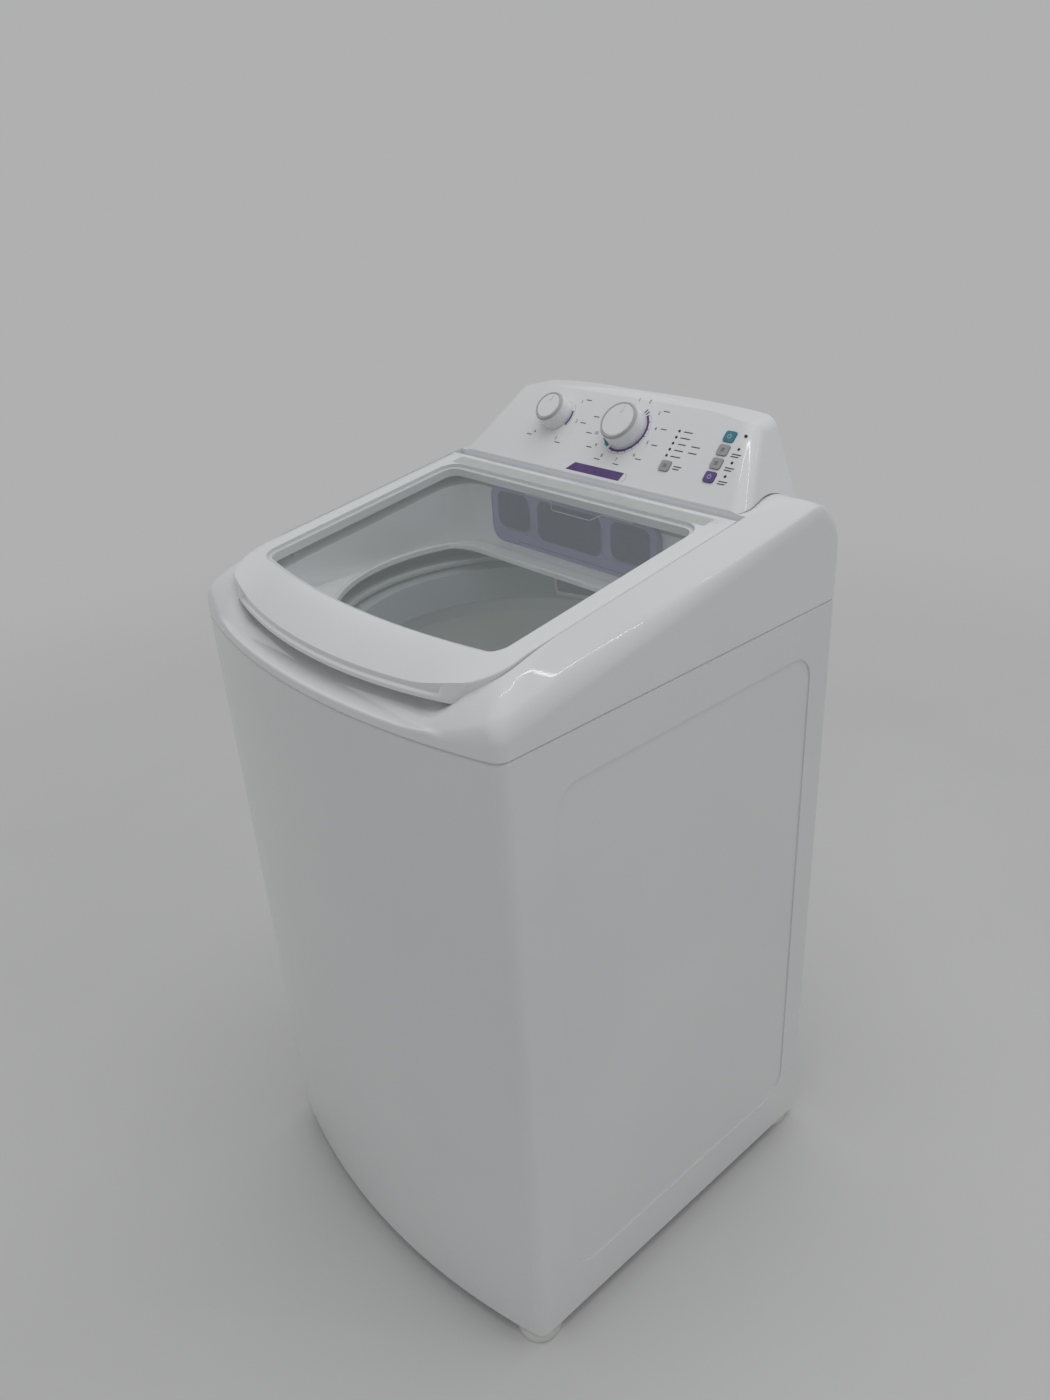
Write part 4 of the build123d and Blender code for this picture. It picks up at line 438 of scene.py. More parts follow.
# The base frame is a deep moulded tray rim in natural white polypropylene. The two front feet
# screw down to level the machine; the rear pair is fixed. All four are soft white mouldings.
NATURAL_LOW = (0.62, 0.63, 0.62, 1)
NATURAL_HIGH = (0.68, 0.69, 0.68, 1)
natural, tree, shader, place = new_finish("natural_polypropylene")
mottle(tree, place, NATURAL_LOW, NATURAL_HIGH, 12.0, shader.inputs["Base Color"])
uneven_gloss(tree, place, 0.42, 0.52, 40.0, shader)
grain(tree, place, 300.0, 0.00004, 0.2, shader)
coat_node(natural, "base_frame", "outer_tub", "tub_ring", "dispenser_housing", "drain_outlet")

FOOT_LOW = (0.66, 0.66, 0.64, 1)
FOOT_HIGH = (0.74, 0.74, 0.72, 1)
foot_white, tree, shader, place = new_finish("white_foot_moulding")
mottle(tree, place, FOOT_LOW, FOOT_HIGH, 30.0, shader.inputs["Base Color"])
uneven_gloss(tree, place, 0.5, 0.62, 60.0, shader)
grain(tree, place, 500.0, 0.00005, 0.3, shader)
coat_node(foot_white, "rear_feet", "lid_bumpers")

PAD_MIDDLE = (242.6, -226.0)
STUD_MIDDLE = (243.0, -218.0)
PAD_SECTION = [(25.4, 0), (26.6, 0.5), (27.2, 1.8), (27.2, 9.5), (26.4, 12.0), (24.4, 14.0), (21.5, 14.8)]
STUD_SECTION = [(13.0, 14.9), (13.0, 18.0), (6.0, 18.0), (6.0, 58.0)]
FOOT_SIDES = 56
for side, body in ((-1, "foot_left"), (1, "foot_right")):
    pad = bmesh.new()
    rings = []
    for middle, section in ((PAD_MIDDLE, PAD_SECTION), (STUD_MIDDLE, STUD_SECTION)):
        for radius, height in section:
            turns = [2 * pi * i / FOOT_SIDES for i in range(FOOT_SIDES)]
            ring = [(middle[0] + radius * cos(t), middle[1] + radius * sin(t), height) for t in turns]
            rings.append([pad.verts.new(Vector((side * x, y, z)) * MILLIMETRE) for x, y, z in ring])
    for lower, upper in zip(rings, rings[1:]):
        band(pad, lower, upper)
    pad.faces.new(rings[0])
    pad.faces.new(rings[-1])
    pad_piece = finished_piece(f"{body}_pad", pad, foot_white, 40)
    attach(pad_piece, body)
    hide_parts("levelling_foot_left" if side < 0 else "levelling_foot_right")


# The drive hangs under the tub: a dark painted motor, cast aluminium gear case and pulleys, a
# ribbed rubber belt, a black capacitor and the drain pump with its hose.
MOTOR_LOW = (0.035, 0.037, 0.04, 1)
MOTOR_HIGH = (0.06, 0.063, 0.067, 1)
motor_paint, tree, shader, place = new_finish("motor_paint")
mottle(tree, place, MOTOR_LOW, MOTOR_HIGH, 30.0, shader.inputs["Base Color"])
uneven_gloss(tree, place, 0.3, 0.42, 60.0, shader)
coat_node(motor_paint, "drive_motor")

CAST_LOW = (0.40, 0.41, 0.42, 1)
CAST_HIGH = (0.52, 0.53, 0.54, 1)
cast_metal, tree, shader, place = new_finish("cast_aluminium")
mottle(tree, place, CAST_LOW, CAST_HIGH, 50.0, shader.inputs["Base Color"])
uneven_gloss(tree, place, 0.42, 0.58, 90.0, shader)
grain(tree, place, 260.0, 0.0001, 0.35, shader)
shader.inputs["Metallic"].default_value = 0.9
coat_node(cast_metal, "gear_case", "driven_pulley", "motor_pulley", "basket_hub")

RUBBER_LOW = (0.018, 0.018, 0.018, 1)
RUBBER_HIGH = (0.03, 0.03, 0.03, 1)
rubber, tree, shader, place = new_finish("black_rubber")
mottle(tree, place, RUBBER_LOW, RUBBER_HIGH, 60.0, shader.inputs["Base Color"])
uneven_gloss(tree, place, 0.6, 0.75, 80.0, shader)
grain(tree, place, 700.0, 0.00006, 0.3, shader)
coat_node(rubber, "drive_belt", "fill_hose", "tub_seal")

BLACK_LOW = (0.022, 0.022, 0.024, 1)
BLACK_HIGH = (0.038, 0.038, 0.04, 1)
black_moulding, tree, shader, place = new_finish("black_moulding")
mottle(tree, place, BLACK_LOW, BLACK_HIGH, 50.0, shader.inputs["Base Color"])
uneven_gloss(tree, place, 0.4, 0.5, 70.0, shader)
coat_node(
    black_moulding, "capacitor", "drain_pump", "cord_gland", "program_selector", "level_selector",
    "button_switches",
)


# The drain hose is a ribbed rubber sleeve from the pump, which bounces with the tub, to the outlet in the back
# panel. Its plain ends are pushed over both spigots.
SLEEVE_WALL = 0.002
SLEEVE_CUFF = 0.018
RIB_DEPTH = 0.0008
RIB_COUNT = 12
RIB_STEPS = 8
SLEEVE_SIDES = 32
low_corner, high_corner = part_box("drain_hose")
middle = (low_corner + high_corner) / 2
radius = (high_corner.x - low_corner.x) / 2
ribs_start, ribs_end = low_corner.y + SLEEVE_CUFF, high_corner.y - SLEEVE_CUFF
section = [(low_corner.y, radius)]
for step in range(RIB_COUNT * RIB_STEPS + 1):
    y = ribs_start + (ribs_end - ribs_start) * step / (RIB_COUNT * RIB_STEPS)
    section.append((y, radius - RIB_DEPTH * (0.5 - 0.5 * cos(2 * pi * step / RIB_STEPS))))
section.append((high_corner.y, radius))
section += [(y, radius - SLEEVE_WALL) for y, _ in section[::-1]]
sleeve = bmesh.new()
rings = []
for y, reach in section:
    turns = [2 * pi * side / SLEEVE_SIDES for side in range(SLEEVE_SIDES)]
    rings.append([sleeve.verts.new((middle.x + reach * cos(t), y, middle.z + reach * sin(t))) for t in turns])
for lower, upper in zip(rings, rings[1:] + rings[:1]):
    band(sleeve, lower, upper)
drain_sleeve = finished_piece("drain_sleeve", sleeve, rubber, 50)
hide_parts("drain_hose")
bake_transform(drain_sleeve)


# The basket is a moulded drum in pale grey green with rows of drain holes. A white stepped rim
# and a blue grey balance ring close its top, and the lint filter clips into the ring.
BASKET_LOW = (0.80, 0.835, 0.82, 1)
BASKET_HIGH = (0.84, 0.875, 0.855, 1)
basket_grey, tree, shader, place = new_finish("basket_grey")
mottle(tree, place, BASKET_LOW, BASKET_HIGH, 6.0, shader.inputs["Base Color"])
uneven_gloss(tree, place, 0.22, 0.3, 20.0, shader)
coat_node(basket_grey, "basket")

RING_LOW = (0.37, 0.42, 0.455, 1)
RING_HIGH = (0.41, 0.46, 0.495, 1)
ring_blue, tree, shader, place = new_finish("balance_ring_blue_grey")
mottle(tree, place, RING_LOW, RING_HIGH, 8.0, shader.inputs["Base Color"])
uneven_gloss(tree, place, 0.2, 0.28, 20.0, shader)
coat_node(ring_blue, "balance_ring")


# The agitator and its cap, the basket rim, the filter, the pump's impeller, the inlet valve, the console and the
# knobs are moulded in the cover's gloss white plastic. They are pressed, clipped or screwed in place.
coat_node(
    white_moulding, "agitator", "agitator_cap", "basket_rim", "lint_filter", "pump_impeller",
    "inlet_valve", "console", "program_knob", "level_knob",
)


# The dispenser drawer is a translucent blue violet moulding. Its front has three darker panes with outlines,
# and a thin white line that drops into a shallow tab between them.
VIOLET_LOW = (0.30, 0.30, 0.57, 1)
VIOLET_HIGH = (0.35, 0.35, 0.64, 1)
violet, tree, shader, place = new_finish("violet_translucent")
mottle(tree, place, VIOLET_LOW, VIOLET_HIGH, 10.0, shader.inputs["Base Color"])
uneven_gloss(tree, place, 0.12, 0.2, 30.0, shader)
shader.inputs["Transmission Weight"].default_value = 0.25
coat_node(violet, "dispenser_drawer")

DRAWER_FACE = 106.0
DRAWER_FOOT = 858.95
INK_LOW = 0.00003
INK_HIGH = 0.00012


def ink_finish(name, low, high):
    """A satin print or small moulding of one colour, a little uneven."""
    finish, tree, shader, place = new_finish(name)
    mottle(tree, place, low, high, 90.0, shader.inputs["Base Color"])
    uneven_gloss(tree, place, 0.34, 0.42, 160.0, shader)
    return finish


def on_drawer(x, rise, lift):
    """A point of the drawer's front: sideways and up in millimetres, lift in metres."""
    return Vector((x * MILLIMETRE, DRAWER_FACE * MILLIMETRE - lift, (DRAWER_FOOT + rise) * MILLIMETRE))


def printed(name, outlines, finish, body, place_at, low=INK_LOW, high=INK_HIGH):
    """A group of flat printed shapes on a face, as one thin piece."""
    ink = bmesh.new()
    for outline in outlines:
        lower = [ink.verts.new(place_at(x, rise, low)) for x, rise in outline]
        upper = [ink.verts.new(place_at(x, rise, high)) for x, rise in outline]
        ink.faces.new(lower[::-1])
        ink.faces.new(upper)
        band(ink, lower, upper)
    piece = finished_piece(name, ink, finish, smooth=False)
    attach(piece, body)


def rounded(left, right, low, high, radius):
    """Outline of a rounded rectangle."""
    corners = [(right - radius, high - radius, 0), (left + radius, high - radius, 90),
               (left + radius, low + radius, 180), (right - radius, low + radius, 270)]
    return [
        (x + radius * cos(radians(start + step)), y + radius * sin(radians(start + step)))
        for x, y, start in corners for step in range(0, 91, 15)
    ]


def stroke(points, wide):
    """Outlines of a drawn line, one for each straight run."""
    runs = []
    for (x, y), (next_x, next_y) in zip(points, points[1:]):
        along = Vector((next_x - x, next_y - y)).normalized()
        over = Vector((-along.y, along.x)) * wide / 2
        tip = along * wide / 2
        first, last = Vector((x, y)) - tip, Vector((next_x, next_y)) + tip
        runs.append([tuple(first - over), tuple(last - over), tuple(last + over), tuple(first + over)])
    return runs


PANES = [(-129.0, -73.0, 22.0, 66.0), (-55.0, 52.0, 18.0, 66.0), (70.0, 129.0, 22.0, 66.0)]
TAB_LINE = [(-76, 70.5), (-33, 70.5), (-30, 69.5), (-30, 61.5), (-28, 59.5), (34, 59.5), (37, 60.5), (55, 70),
            (58, 70.5), (104, 70.5)]
FOOT_LINE = [(-124, 1), (-96, 1), (-90, 5.5), (90, 5.5), (96, 1), (124, 1)]
SIDE_LINE, SIDE_LINE_LOW, SIDE_LINE_HIGH = 141.5, 18, 56
OUTLINE_WIDE = 1.3
PANE_RADIUS = 10.0
PANE_EDGE = 1.5
pane_outline = ink_finish("pane_outline", (0.075, 0.075, 0.12, 1), (0.095, 0.095, 0.15, 1))
pane_smoke = ink_finish("pane_smoke", (0.024, 0.028, 0.10, 1), (0.034, 0.038, 0.125, 1))
white_line = ink_finish("white_line", (0.76, 0.77, 0.79, 1), (0.82, 0.83, 0.85, 1))
outlines = [
    rounded(left - PANE_EDGE, right + PANE_EDGE, low - PANE_EDGE, high + 1, PANE_RADIUS + PANE_EDGE)
    for left, right, low, high in PANES
]
outlines += stroke(FOOT_LINE, OUTLINE_WIDE)
for x in (-SIDE_LINE, SIDE_LINE):
    outlines += stroke([(x, SIDE_LINE_LOW), (x, SIDE_LINE_HIGH)], OUTLINE_WIDE)
printed("drawer_outlines", outlines, pane_outline, "drawer", on_drawer)
printed(
    "drawer_panes", [rounded(*pane, PANE_RADIUS) for pane in PANES], pane_smoke, "drawer",
    on_drawer, INK_HIGH, 2 * INK_HIGH,
)
printed(
    "drawer_line", stroke(TAB_LINE, 1.1), white_line, "drawer", on_drawer, 2 * INK_HIGH,
    3 * INK_HIGH,
)


# The lint filter is a moulded white cassette that slides into a pocket of the basket's ring. A plain purple strip
# is printed across the face that looks into the basket.
FILTER_TURN = radians(109.0)
FILTER_FACE = 185.05
FILTER_FOOT = 772.0


def on_filter(x, rise, lift):
    """A point of the filter's inner face: sideways and up in millimetres, lift in metres towards the axis."""
    reach = FILTER_FACE * MILLIMETRE - lift
    out = Vector((cos(FILTER_TURN), sin(FILTER_TURN), 0))
    across = Vector((-sin(FILTER_TURN), cos(FILTER_TURN), 0))
    rest = Vector((0, TUB_MIDDLE, FILTER_FOOT + rise)) * MILLIMETRE
    return rest + out * reach + across * x * MILLIMETRE


strip_purple = ink_finish("strip_purple", (0.14, 0.09, 0.22, 1), (0.18, 0.12, 0.27, 1))
printed("filter_strip", [rounded(-35, 35, 5, 23, 2.0)], strip_purple, "filter", on_filter)


# The keys are small satin mouldings in grey, teal and purple that sit in windows of the console's face. The knobs'
# rings are satin silver grey, the lamps are dark lenses, and the board behind them is green lacquered laminate.
grey_key = ink_finish("grey_key", (0.36, 0.37, 0.38, 1), (0.40, 0.41, 0.42, 1))
teal_key = ink_finish("teal_key", (0.05, 0.22, 0.30, 1), (0.07, 0.26, 0.34, 1))
purple_key = ink_finish("purple_key", (0.12, 0.07, 0.24, 1), (0.15, 0.09, 0.28, 1))
silver_ring = ink_finish("silver_ring", (0.46, 0.46, 0.45, 1), (0.52, 0.52, 0.51, 1))
dark_lens = ink_finish("dark_lens", (0.012, 0.012, 0.014, 1), (0.02, 0.02, 0.024, 1))
board_green = ink_finish("board_green", (0.01, 0.09, 0.04, 1), (0.02, 0.13, 0.06, 1))
coat_node(grey_key, "agitation_button", "spin_button", "skip_button")
coat_node(teal_key, "start_button")
coat_node(purple_key, "reuse_button")
coat_node(silver_ring, "program_knob_bezel", "level_knob_bezel")
coat_node(dark_lens, "indicator_lamps")
coat_node(board_green, "control_board")


# The console's legends are thin prints on its tilted face: two dial rings with coloured arcs, plain
# numbers, short dashes beside the numbers, lamps and keys, and a plain purple plate above the lid's hinge.
FACE_FOOT = Vector((0, 0.137, 0.95814))
FACE_TURN = radians(46)


def on_console(x, rise, lift):
    """A point of the console face: sideways and up the slope in millimetres, lift in metres."""
    out = Vector((0, -sin(FACE_TURN), cos(FACE_TURN)))
    along = Vector((0, cos(FACE_TURN), sin(FACE_TURN)))
    return FACE_FOOT + Vector((x, 0, 0)) * MILLIMETRE + along * rise * MILLIMETRE + out * lift


def arc_band(middle, inner, outer, start, end):
    """Outline of a ring sector; angles in degrees from the right, counted upwards."""
    steps = max(4, int(abs(end - start) / 4))
    turns = [radians(start + (end - start) * i / steps) for i in range(steps + 1)]
    rim = [(middle[0] + outer * cos(t), middle[1] + outer * sin(t)) for t in turns]
    bore = [(middle[0] + inner * cos(t), middle[1] + inner * sin(t)) for t in turns]
    return rim + bore[::-1]


def bar(x, rise, wide, tall, lean=0.0):
    """Outline of a short dash, centred, leaning by a sideways shift."""
    w, h = wide / 2, tall / 2
    return [(x - w - lean, rise - h), (x + w - lean, rise - h), (x + w + lean, rise + h), (x - w + lean, rise + h)]


PROGRAM_DIAL = (22.0, 69.0)
LEVEL_DIAL = (-98.0, 71.0)
PLATE = [(-38, 3.5), (50, 3.5), (53, 14.5), (-28, 14.5)]
purple_ink = ink_finish("purple_ink", (0.10, 0.055, 0.20, 1), (0.13, 0.075, 0.24, 1))
teal_ink = ink_finish("teal_ink", (0.04, 0.20, 0.28, 1), (0.06, 0.24, 0.32, 1))
grey_ink = ink_finish("grey_ink", (0.06, 0.06, 0.07, 1), (0.09, 0.09, 0.10, 1))
pale_ink = ink_finish("pale_ink", (0.42, 0.38, 0.50, 1), (0.48, 0.44, 0.56, 1))

purple_arcs = [arc_band(PROGRAM_DIAL, 27.6, 30.6, -112, 48)]
purple_arcs += [arc_band(PROGRAM_DIAL, 28.0, 33.5, turn, turn + 3.5) for turn in (52, 60)]
purple_arcs += [arc_band(PROGRAM_DIAL, 30.6, 31.8, turn, turn + 2.5) for turn in range(-100, 48, 18)]
purple_arcs += [arc_band(LEVEL_DIAL, 22.6, 25.2, -28, 22)]
purple_arcs += [PLATE]
printed("purple_legends", purple_arcs, purple_ink, "cabinet", on_console)
teal_arcs = [arc_band(PROGRAM_DIAL, 27.6, 31.0, -168, -120)]
teal_arcs += [arc_band(PROGRAM_DIAL, 31.0, 32.2, turn, turn + 3) for turn in (-164, -148, -132)]
printed("teal_legends", teal_arcs, teal_ink, "cabinet", on_console)
hairlines = [arc_band(PROGRAM_DIAL, 33.0, 33.5, -112, 46), arc_band(LEVEL_DIAL, 26.6, 27.1, -28, 40)]
hairlines += [arc_band((51.5, 9.0), 6.6, 7.1, -58, 58)]
printed("hairline_legends", hairlines, pale_ink, "cabinet", on_console)


NUMBER_SIZE = 6.2
PROGRAM_NUMBERS = [(96, 40), (72, 42), (38, 44), (10, 42), (-16, 42), (-44, 43), (-78, 41), (-112, 42),
                   (-140, 43), (-164, 44), (170, 44), (140, 44)]
LEVEL_NUMBERS = [(38, 37), (-6, 37), (-60, 36), (-128, 36)]
numbers = [(PROGRAM_DIAL, turn, reach) for turn, reach in PROGRAM_NUMBERS]
numbers += [(LEVEL_DIAL, turn, reach) for turn, reach in LEVEL_NUMBERS]
for count, (middle, turn, reach) in enumerate(numbers):
    letters = bpy.data.curves.new("dial_number", "FONT")
    letters.body = str(count % len(PROGRAM_NUMBERS) + 1)
    letters.size = NUMBER_SIZE * MILLIMETRE
    letters.extrude = INK_HIGH / 2
    letters.align_x = "CENTER"
    letters.align_y = "CENTER"
    letters.materials.append(grey_ink)
    figure = bpy.data.objects.new(f"dial_number_{count + 1}", letters)
    spot = on_console(
        middle[0] + reach * cos(radians(turn)), middle[1] + reach * sin(radians(turn)), INK_LOW + INK_HIGH / 2
    )
    figure.matrix_world = Matrix.Translation(spot) @ Matrix.Rotation(FACE_TURN, 4, "X")
    bpy.context.scene.collection.objects.link(figure)
    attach(figure, "cabinet")

FACE_TOP = 100
DASH_ASIDE, DASH_ABOVE = 12, 6
LAMP_ROWS = [(98.0, 47.0 + 8.0 * i) for i in range(5)]
KEY_PLACES = {
    "start": (168.0, 83.0), "agitation": (168.5, 66.0), "spin": (169.0, 49.0), "reuse": (169.5, 32.0),
    "skip": (104.0, 34.0),
}
dashes = [bar(x + 13, rise, 14 - 1.5 * (i % 3), 1.3, 0.5) for i, (x, rise) in enumerate(LAMP_ROWS)]
dashes += [bar(x + 33, rise, 12, 1.3, 0.5) for x, rise in LAMP_ROWS[1:3]]
for name in ("agitation", "spin", "reuse"):
    x, rise = KEY_PLACES[name]
    dashes += [bar(x + 19, rise - 2.2, 12, 1.3, 0.5), bar(x + 18, rise - 5.2, 10, 1.3, 0.5)]
x, rise = KEY_PLACES["skip"]
dashes += [bar(x + 17, rise + 1.6, 11, 1.3, 0.5), bar(x + 16, rise - 1.6, 9, 1.3, 0.5)]
for (x, rise), turn, reach in numbers:
    x += (reach + DASH_ASIDE) * cos(radians(turn))
    rise += (reach + DASH_ABOVE) * sin(radians(turn))
    if rise < FACE_TOP:
        dashes.append(bar(x, rise, 9, 1.1, 0.4))
printed("label_dashes", dashes, grey_ink, "cabinet", on_console)
KEY_STAND = 0.0016
sign_pale = ink_finish("sign_pale", (0.60, 0.61, 0.63, 1), (0.66, 0.67, 0.69, 1))
sign_dark = ink_finish("sign_dark", (0.10, 0.10, 0.11, 1), (0.13, 0.13, 0.14, 1))
for name, (x, rise) in KEY_PLACES.items():
    sign = [arc_band((x, rise), 2.0, 2.6, 120, 420), bar(x, rise + 2.2, 0.7, 2.6)]
    if name in ("agitation", "spin", "skip"):
        sign = [bar(x, rise + 1.6, 5.0, 0.7), bar(x, rise, 4.0, 0.7), bar(x, rise - 1.6, 5.0, 0.7)]
    printed(
        f"{name}_sign", sign, sign_pale if name in ("start", "reuse") else sign_dark, f"{name}_key",
        on_console, KEY_STAND + INK_LOW, KEY_STAND + INK_HIGH,
    )


# The lid is a white moulded frame that swings up about two pins at its rear corners. Its top runs flat to a
# crease near the front, where a short face drops to a stepped finger lip. The window is let into it flush.
LID_HALF = 235.0
LID_BACK = 135.62
LID_CORNER, LID_CORNER_RADIUS, LID_CORNER_TURN = (175.0, -189.42), 60, -74.67
REAR_BEND = 115.58
PIVOT_BACK = 122.62
BARREL = 13.0
BARREL_START = 165.0
BARREL_SIDES = 28
LIP_CENTRE = 449.03
LIP_HALF = 190.86
LIP_SECTION = [(716.8, 20.0), (717.4, 25.2), (720.4, 25.8), (721.5, 26.4), (722.0, 27.4)]
LIP_END = LIP_SECTION[-1][0]
FLAT_REACH = 668.0
BEND_POWER = 1.35
BEND_CORNER, BEND_CORNER_WIDE, BEND_CORNER_EASE = 140.0, 90.0, 0.65
RIDGE_END = 183.0
LEVELS = [717.4, 716.8, 711.0, 704.0, 696.0, 687.0, 678.0, FLAT_REACH]
FLAT_SHARES = (0.35, 0.7, 1.0)
EDGE_DEPTHS = [0.0, 0.25, 0.8, 1.7]
EDGE_FADE = 6
FRAME_THICK = 14.0
LIP_THICK = 17.35
LIP_THICK_START = 664.5
SHELF_DROP = 4.1
SHELF_WIDE = 6.0
RIB_SIDES, RIB_ENDS, RIB_RISES = (232.0, 234.9), (-155.5, 109.6), (-25.0, -13.0)
WELD_GAP = 0.00001
BOX_FACES = ((0, 1, 3, 2), (4, 6, 7, 5), (0, 2, 6, 4), (1, 5, 7, 3), (0, 4, 5, 1), (2, 3, 7, 6))


def on_lid(x, back, rise):
    """A point in the lid's own sloping frame: sideways, back along the slope and up from its top."""
    y = back * cos(LID_SLOPE) - rise * sin(LID_SLOPE)
    return Vector((x, y, DECK_HEIGHT + back * sin(LID_SLOPE) + rise * cos(LID_SLOPE))) * MILLIMETRE


def lip_reach(x, back):
    """Distance from the point that the lid's bowed front is drawn about."""
    return sqrt(x * x + (LIP_CENTRE - back) ** 2)


def lid_drop(x, back):
    """How far the lid's top lies below its plane: the front bend, the stepped lip and the rounded rear."""
    reach = min(lip_reach(x, back), LIP_END)
    crease, drop = LIP_SECTION[0]
    drop *= (min(max(reach - FLAT_REACH, 0.0), crease - FLAT_REACH) / (crease - FLAT_REACH)) ** BEND_POWER
    share = min(max((abs(x) - BEND_CORNER) / BEND_CORNER_WIDE, 0.0), 1.0)
    drop *= 1 - BEND_CORNER_EASE * share * share * (3 - 2 * share)
    if abs(x) > RIDGE_END:
        tip, foot_drop = LIP_SECTION[-1]
        drop += (foot_drop - drop) * max(reach - crease, 0.0) / (tip - crease)
    for (near, high), (far, low) in zip(LIP_SECTION, LIP_SECTION[1:]):
        if near < reach and abs(x) <= RIDGE_END:
            drop = high + (low - high) * min((reach - near) / (far - near), 1.0)
    behind = min(max(back - PIVOT_BACK, 0.0), BARREL)
    return drop + BARREL - sqrt(BARREL**2 - behind**2)


def lid_half():
    """The right half of the lid's outer edge, front to back."""
    edge = []
    for t in spread(0, 1, 36):
        x = LIP_HALF * t
        edge.append((x, LIP_CENTRE - sqrt(LIP_END**2 - x * x)))
    edge += [on_arc(LID_CORNER, LID_CORNER_RADIUS, LID_CORNER_TURN * (1 - t)) for t in spread(0, 1, 18)]
    edge += [(LID_HALF, LID_CORNER[1] + (REAR_BEND - LID_CORNER[1]) * t) for t in spread(0, 1, 30)]
    edge += [(LID_HALF, REAR_BEND + (LID_BACK - REAR_BEND) * t) for t in spread(0, 1, 8)]
    return edge + [(LID_HALF * (1 - t), LID_BACK) for t in spread(0, 1, 20) + [1]]


PANE_BOW, PANE_BOW_CENTRE, PANE_BOW_TURN = 1060.0, 844.5, 10.49
PANE_CORNER, PANE_CORNER_RADIUS, PANE_CORNER_TURN = (189.0, -176.15), 22.0, -79.51
PANE_REAR_CORNER = (189.0, 78.62)


def pane_half(inset):
    """The right half of the window's edge, taken in by an inset, point for point with the outer edge."""
    bow, corner = PANE_BOW - inset, PANE_CORNER_RADIUS - inset
    side = PANE_CORNER[0] + corner
    edge = []
    for t in spread(0, 1, 36):
        turn = radians(PANE_BOW_TURN * t)
        edge.append((bow * sin(turn), PANE_BOW_CENTRE - bow * cos(turn)))
    edge += [on_arc(PANE_CORNER, corner, PANE_CORNER_TURN * (1 - t)) for t in spread(0, 1, 18)]
    edge += [(side, PANE_CORNER[1] + (PANE_REAR_CORNER[1] - PANE_CORNER[1]) * t) for t in spread(0, 1, 30)]
    edge += [on_arc(PANE_REAR_CORNER, corner, 90 * t) for t in spread(0, 1, 8)]
    back = PANE_REAR_CORNER[1] + corner
    return edge + [(PANE_REAR_CORNER[0] * (1 - t), back) for t in spread(0, 1, 20) + [1]]


def level_share(start, end, reach):
    """How far along the way from the lid's edge to its window a line of equal reach is crossed."""
    near, far = 0.0, 1.0
    if lip_reach(*start) <= reach:
        return near
    for _ in range(30):
        share = (near + far) / 2
        if lip_reach(start[0] + (end[0] - start[0]) * share, start[1] + (end[1] - start[1]) * share) > reach:
            near = share
        else:
            far = share
    return far


outer, pane, shelf = mirrored(lid_half()), mirrored(pane_half(0.0)), mirrored(pane_half(SHELF_WIDE))
columns = []
for rim, end, ledge in zip(outer, pane, shelf):
    length = sqrt((end[0] - rim[0]) ** 2 + (end[1] - rim[1]) ** 2)
    rear = rim[1] > LID_BACK - 0.01
    shares = [depth * (BARREL / EDGE_DEPTHS[-1] if rear else 1.0) / length for depth in EDGE_DEPTHS]
    for reach in LEVELS:
        shares.append(max(shares[-1], level_share(rim, end, reach)))
    shares += [shares[-1] + (1 - shares[-1]) * part for part in FLAT_SHARES]
    soft = 0.0 if rear else min(max((LIP_END - lip_reach(*rim)) / EDGE_FADE, 0.0), 1.0)
    column = []
    for share in shares:
        x, back = rim[0] + (end[0] - rim[0]) * share, rim[1] + (end[1] - rim[1]) * share
        gap = max(EDGE_DEPTHS[-1] - share * length, 0.0)
        fall = soft * (EDGE_DEPTHS[-1] - sqrt(EDGE_DEPTHS[-1] ** 2 - gap**2))
        column.append((x, back, -lid_drop(x, back) - fall))
    forward = min(max((lip_reach(*rim) - LIP_THICK_START) / (LIP_END - LIP_THICK_START), 0.0), 1.0)
    low = FRAME_THICK + LIP_THICK * forward
    column += [(*end, -SHELF_DROP), (*ledge, -SHELF_DROP), (*ledge, -FRAME_THICK), (*rim, -low)]
    columns.append(column)
frame_skin = bmesh.new()
rows = [[frame_skin.verts.new(on_lid(*point)) for point in column] for column in columns]
for first, second in zip(rows, rows[1:] + rows[:1]):
    band(frame_skin, first, second)
for side in (-1, 1):
    rings = []
    for x in (BARREL_START, LID_HALF):
        turns = [2 * pi * i / BARREL_SIDES for i in range(BARREL_SIDES)]
        ring = [on_lid(side * x, PIVOT_BACK + BARREL * cos(t), -BARREL + BARREL * sin(t)) for t in turns]
        rings.append([frame_skin.verts.new(point) for point in ring])
    band(frame_skin, *rings)
    frame_skin.faces.new(rings[0])
    frame_skin.faces.new(rings[1])
    corners = [(x, back, rise) for x in RIB_SIDES for back in RIB_ENDS for rise in RIB_RISES]
    rib = [frame_skin.verts.new(on_lid(side * x, back, rise)) for x, back, rise in corners]
    for quad in BOX_FACES:
        frame_skin.faces.new([rib[i] for i in quad])
bmesh.ops.remove_doubles(frame_skin, verts=frame_skin.verts, dist=WELD_GAP)
bmesh.ops.dissolve_degenerate(frame_skin, dist=WELD_GAP, edges=frame_skin.edges)
lid_frame = finished_piece("lid_frame_moulding", frame_skin, white_moulding, 34)
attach(lid_frame, "lid")
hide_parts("lid_frame")


def on_rail(x, back, lift):
    """A point of the lid's top: sideways and back in millimetres, lift in metres."""
    return on_lid(x, back, lift / MILLIMETRE)


rail_tint = ink_finish("rail_tint", (0.50, 0.53, 0.52, 1), (0.54, 0.57, 0.56, 1))
printed("rear_rail_strip", [rounded(-211, 211, 101.2, 119.0, 1.5)], rail_tint, "lid", on_rail)


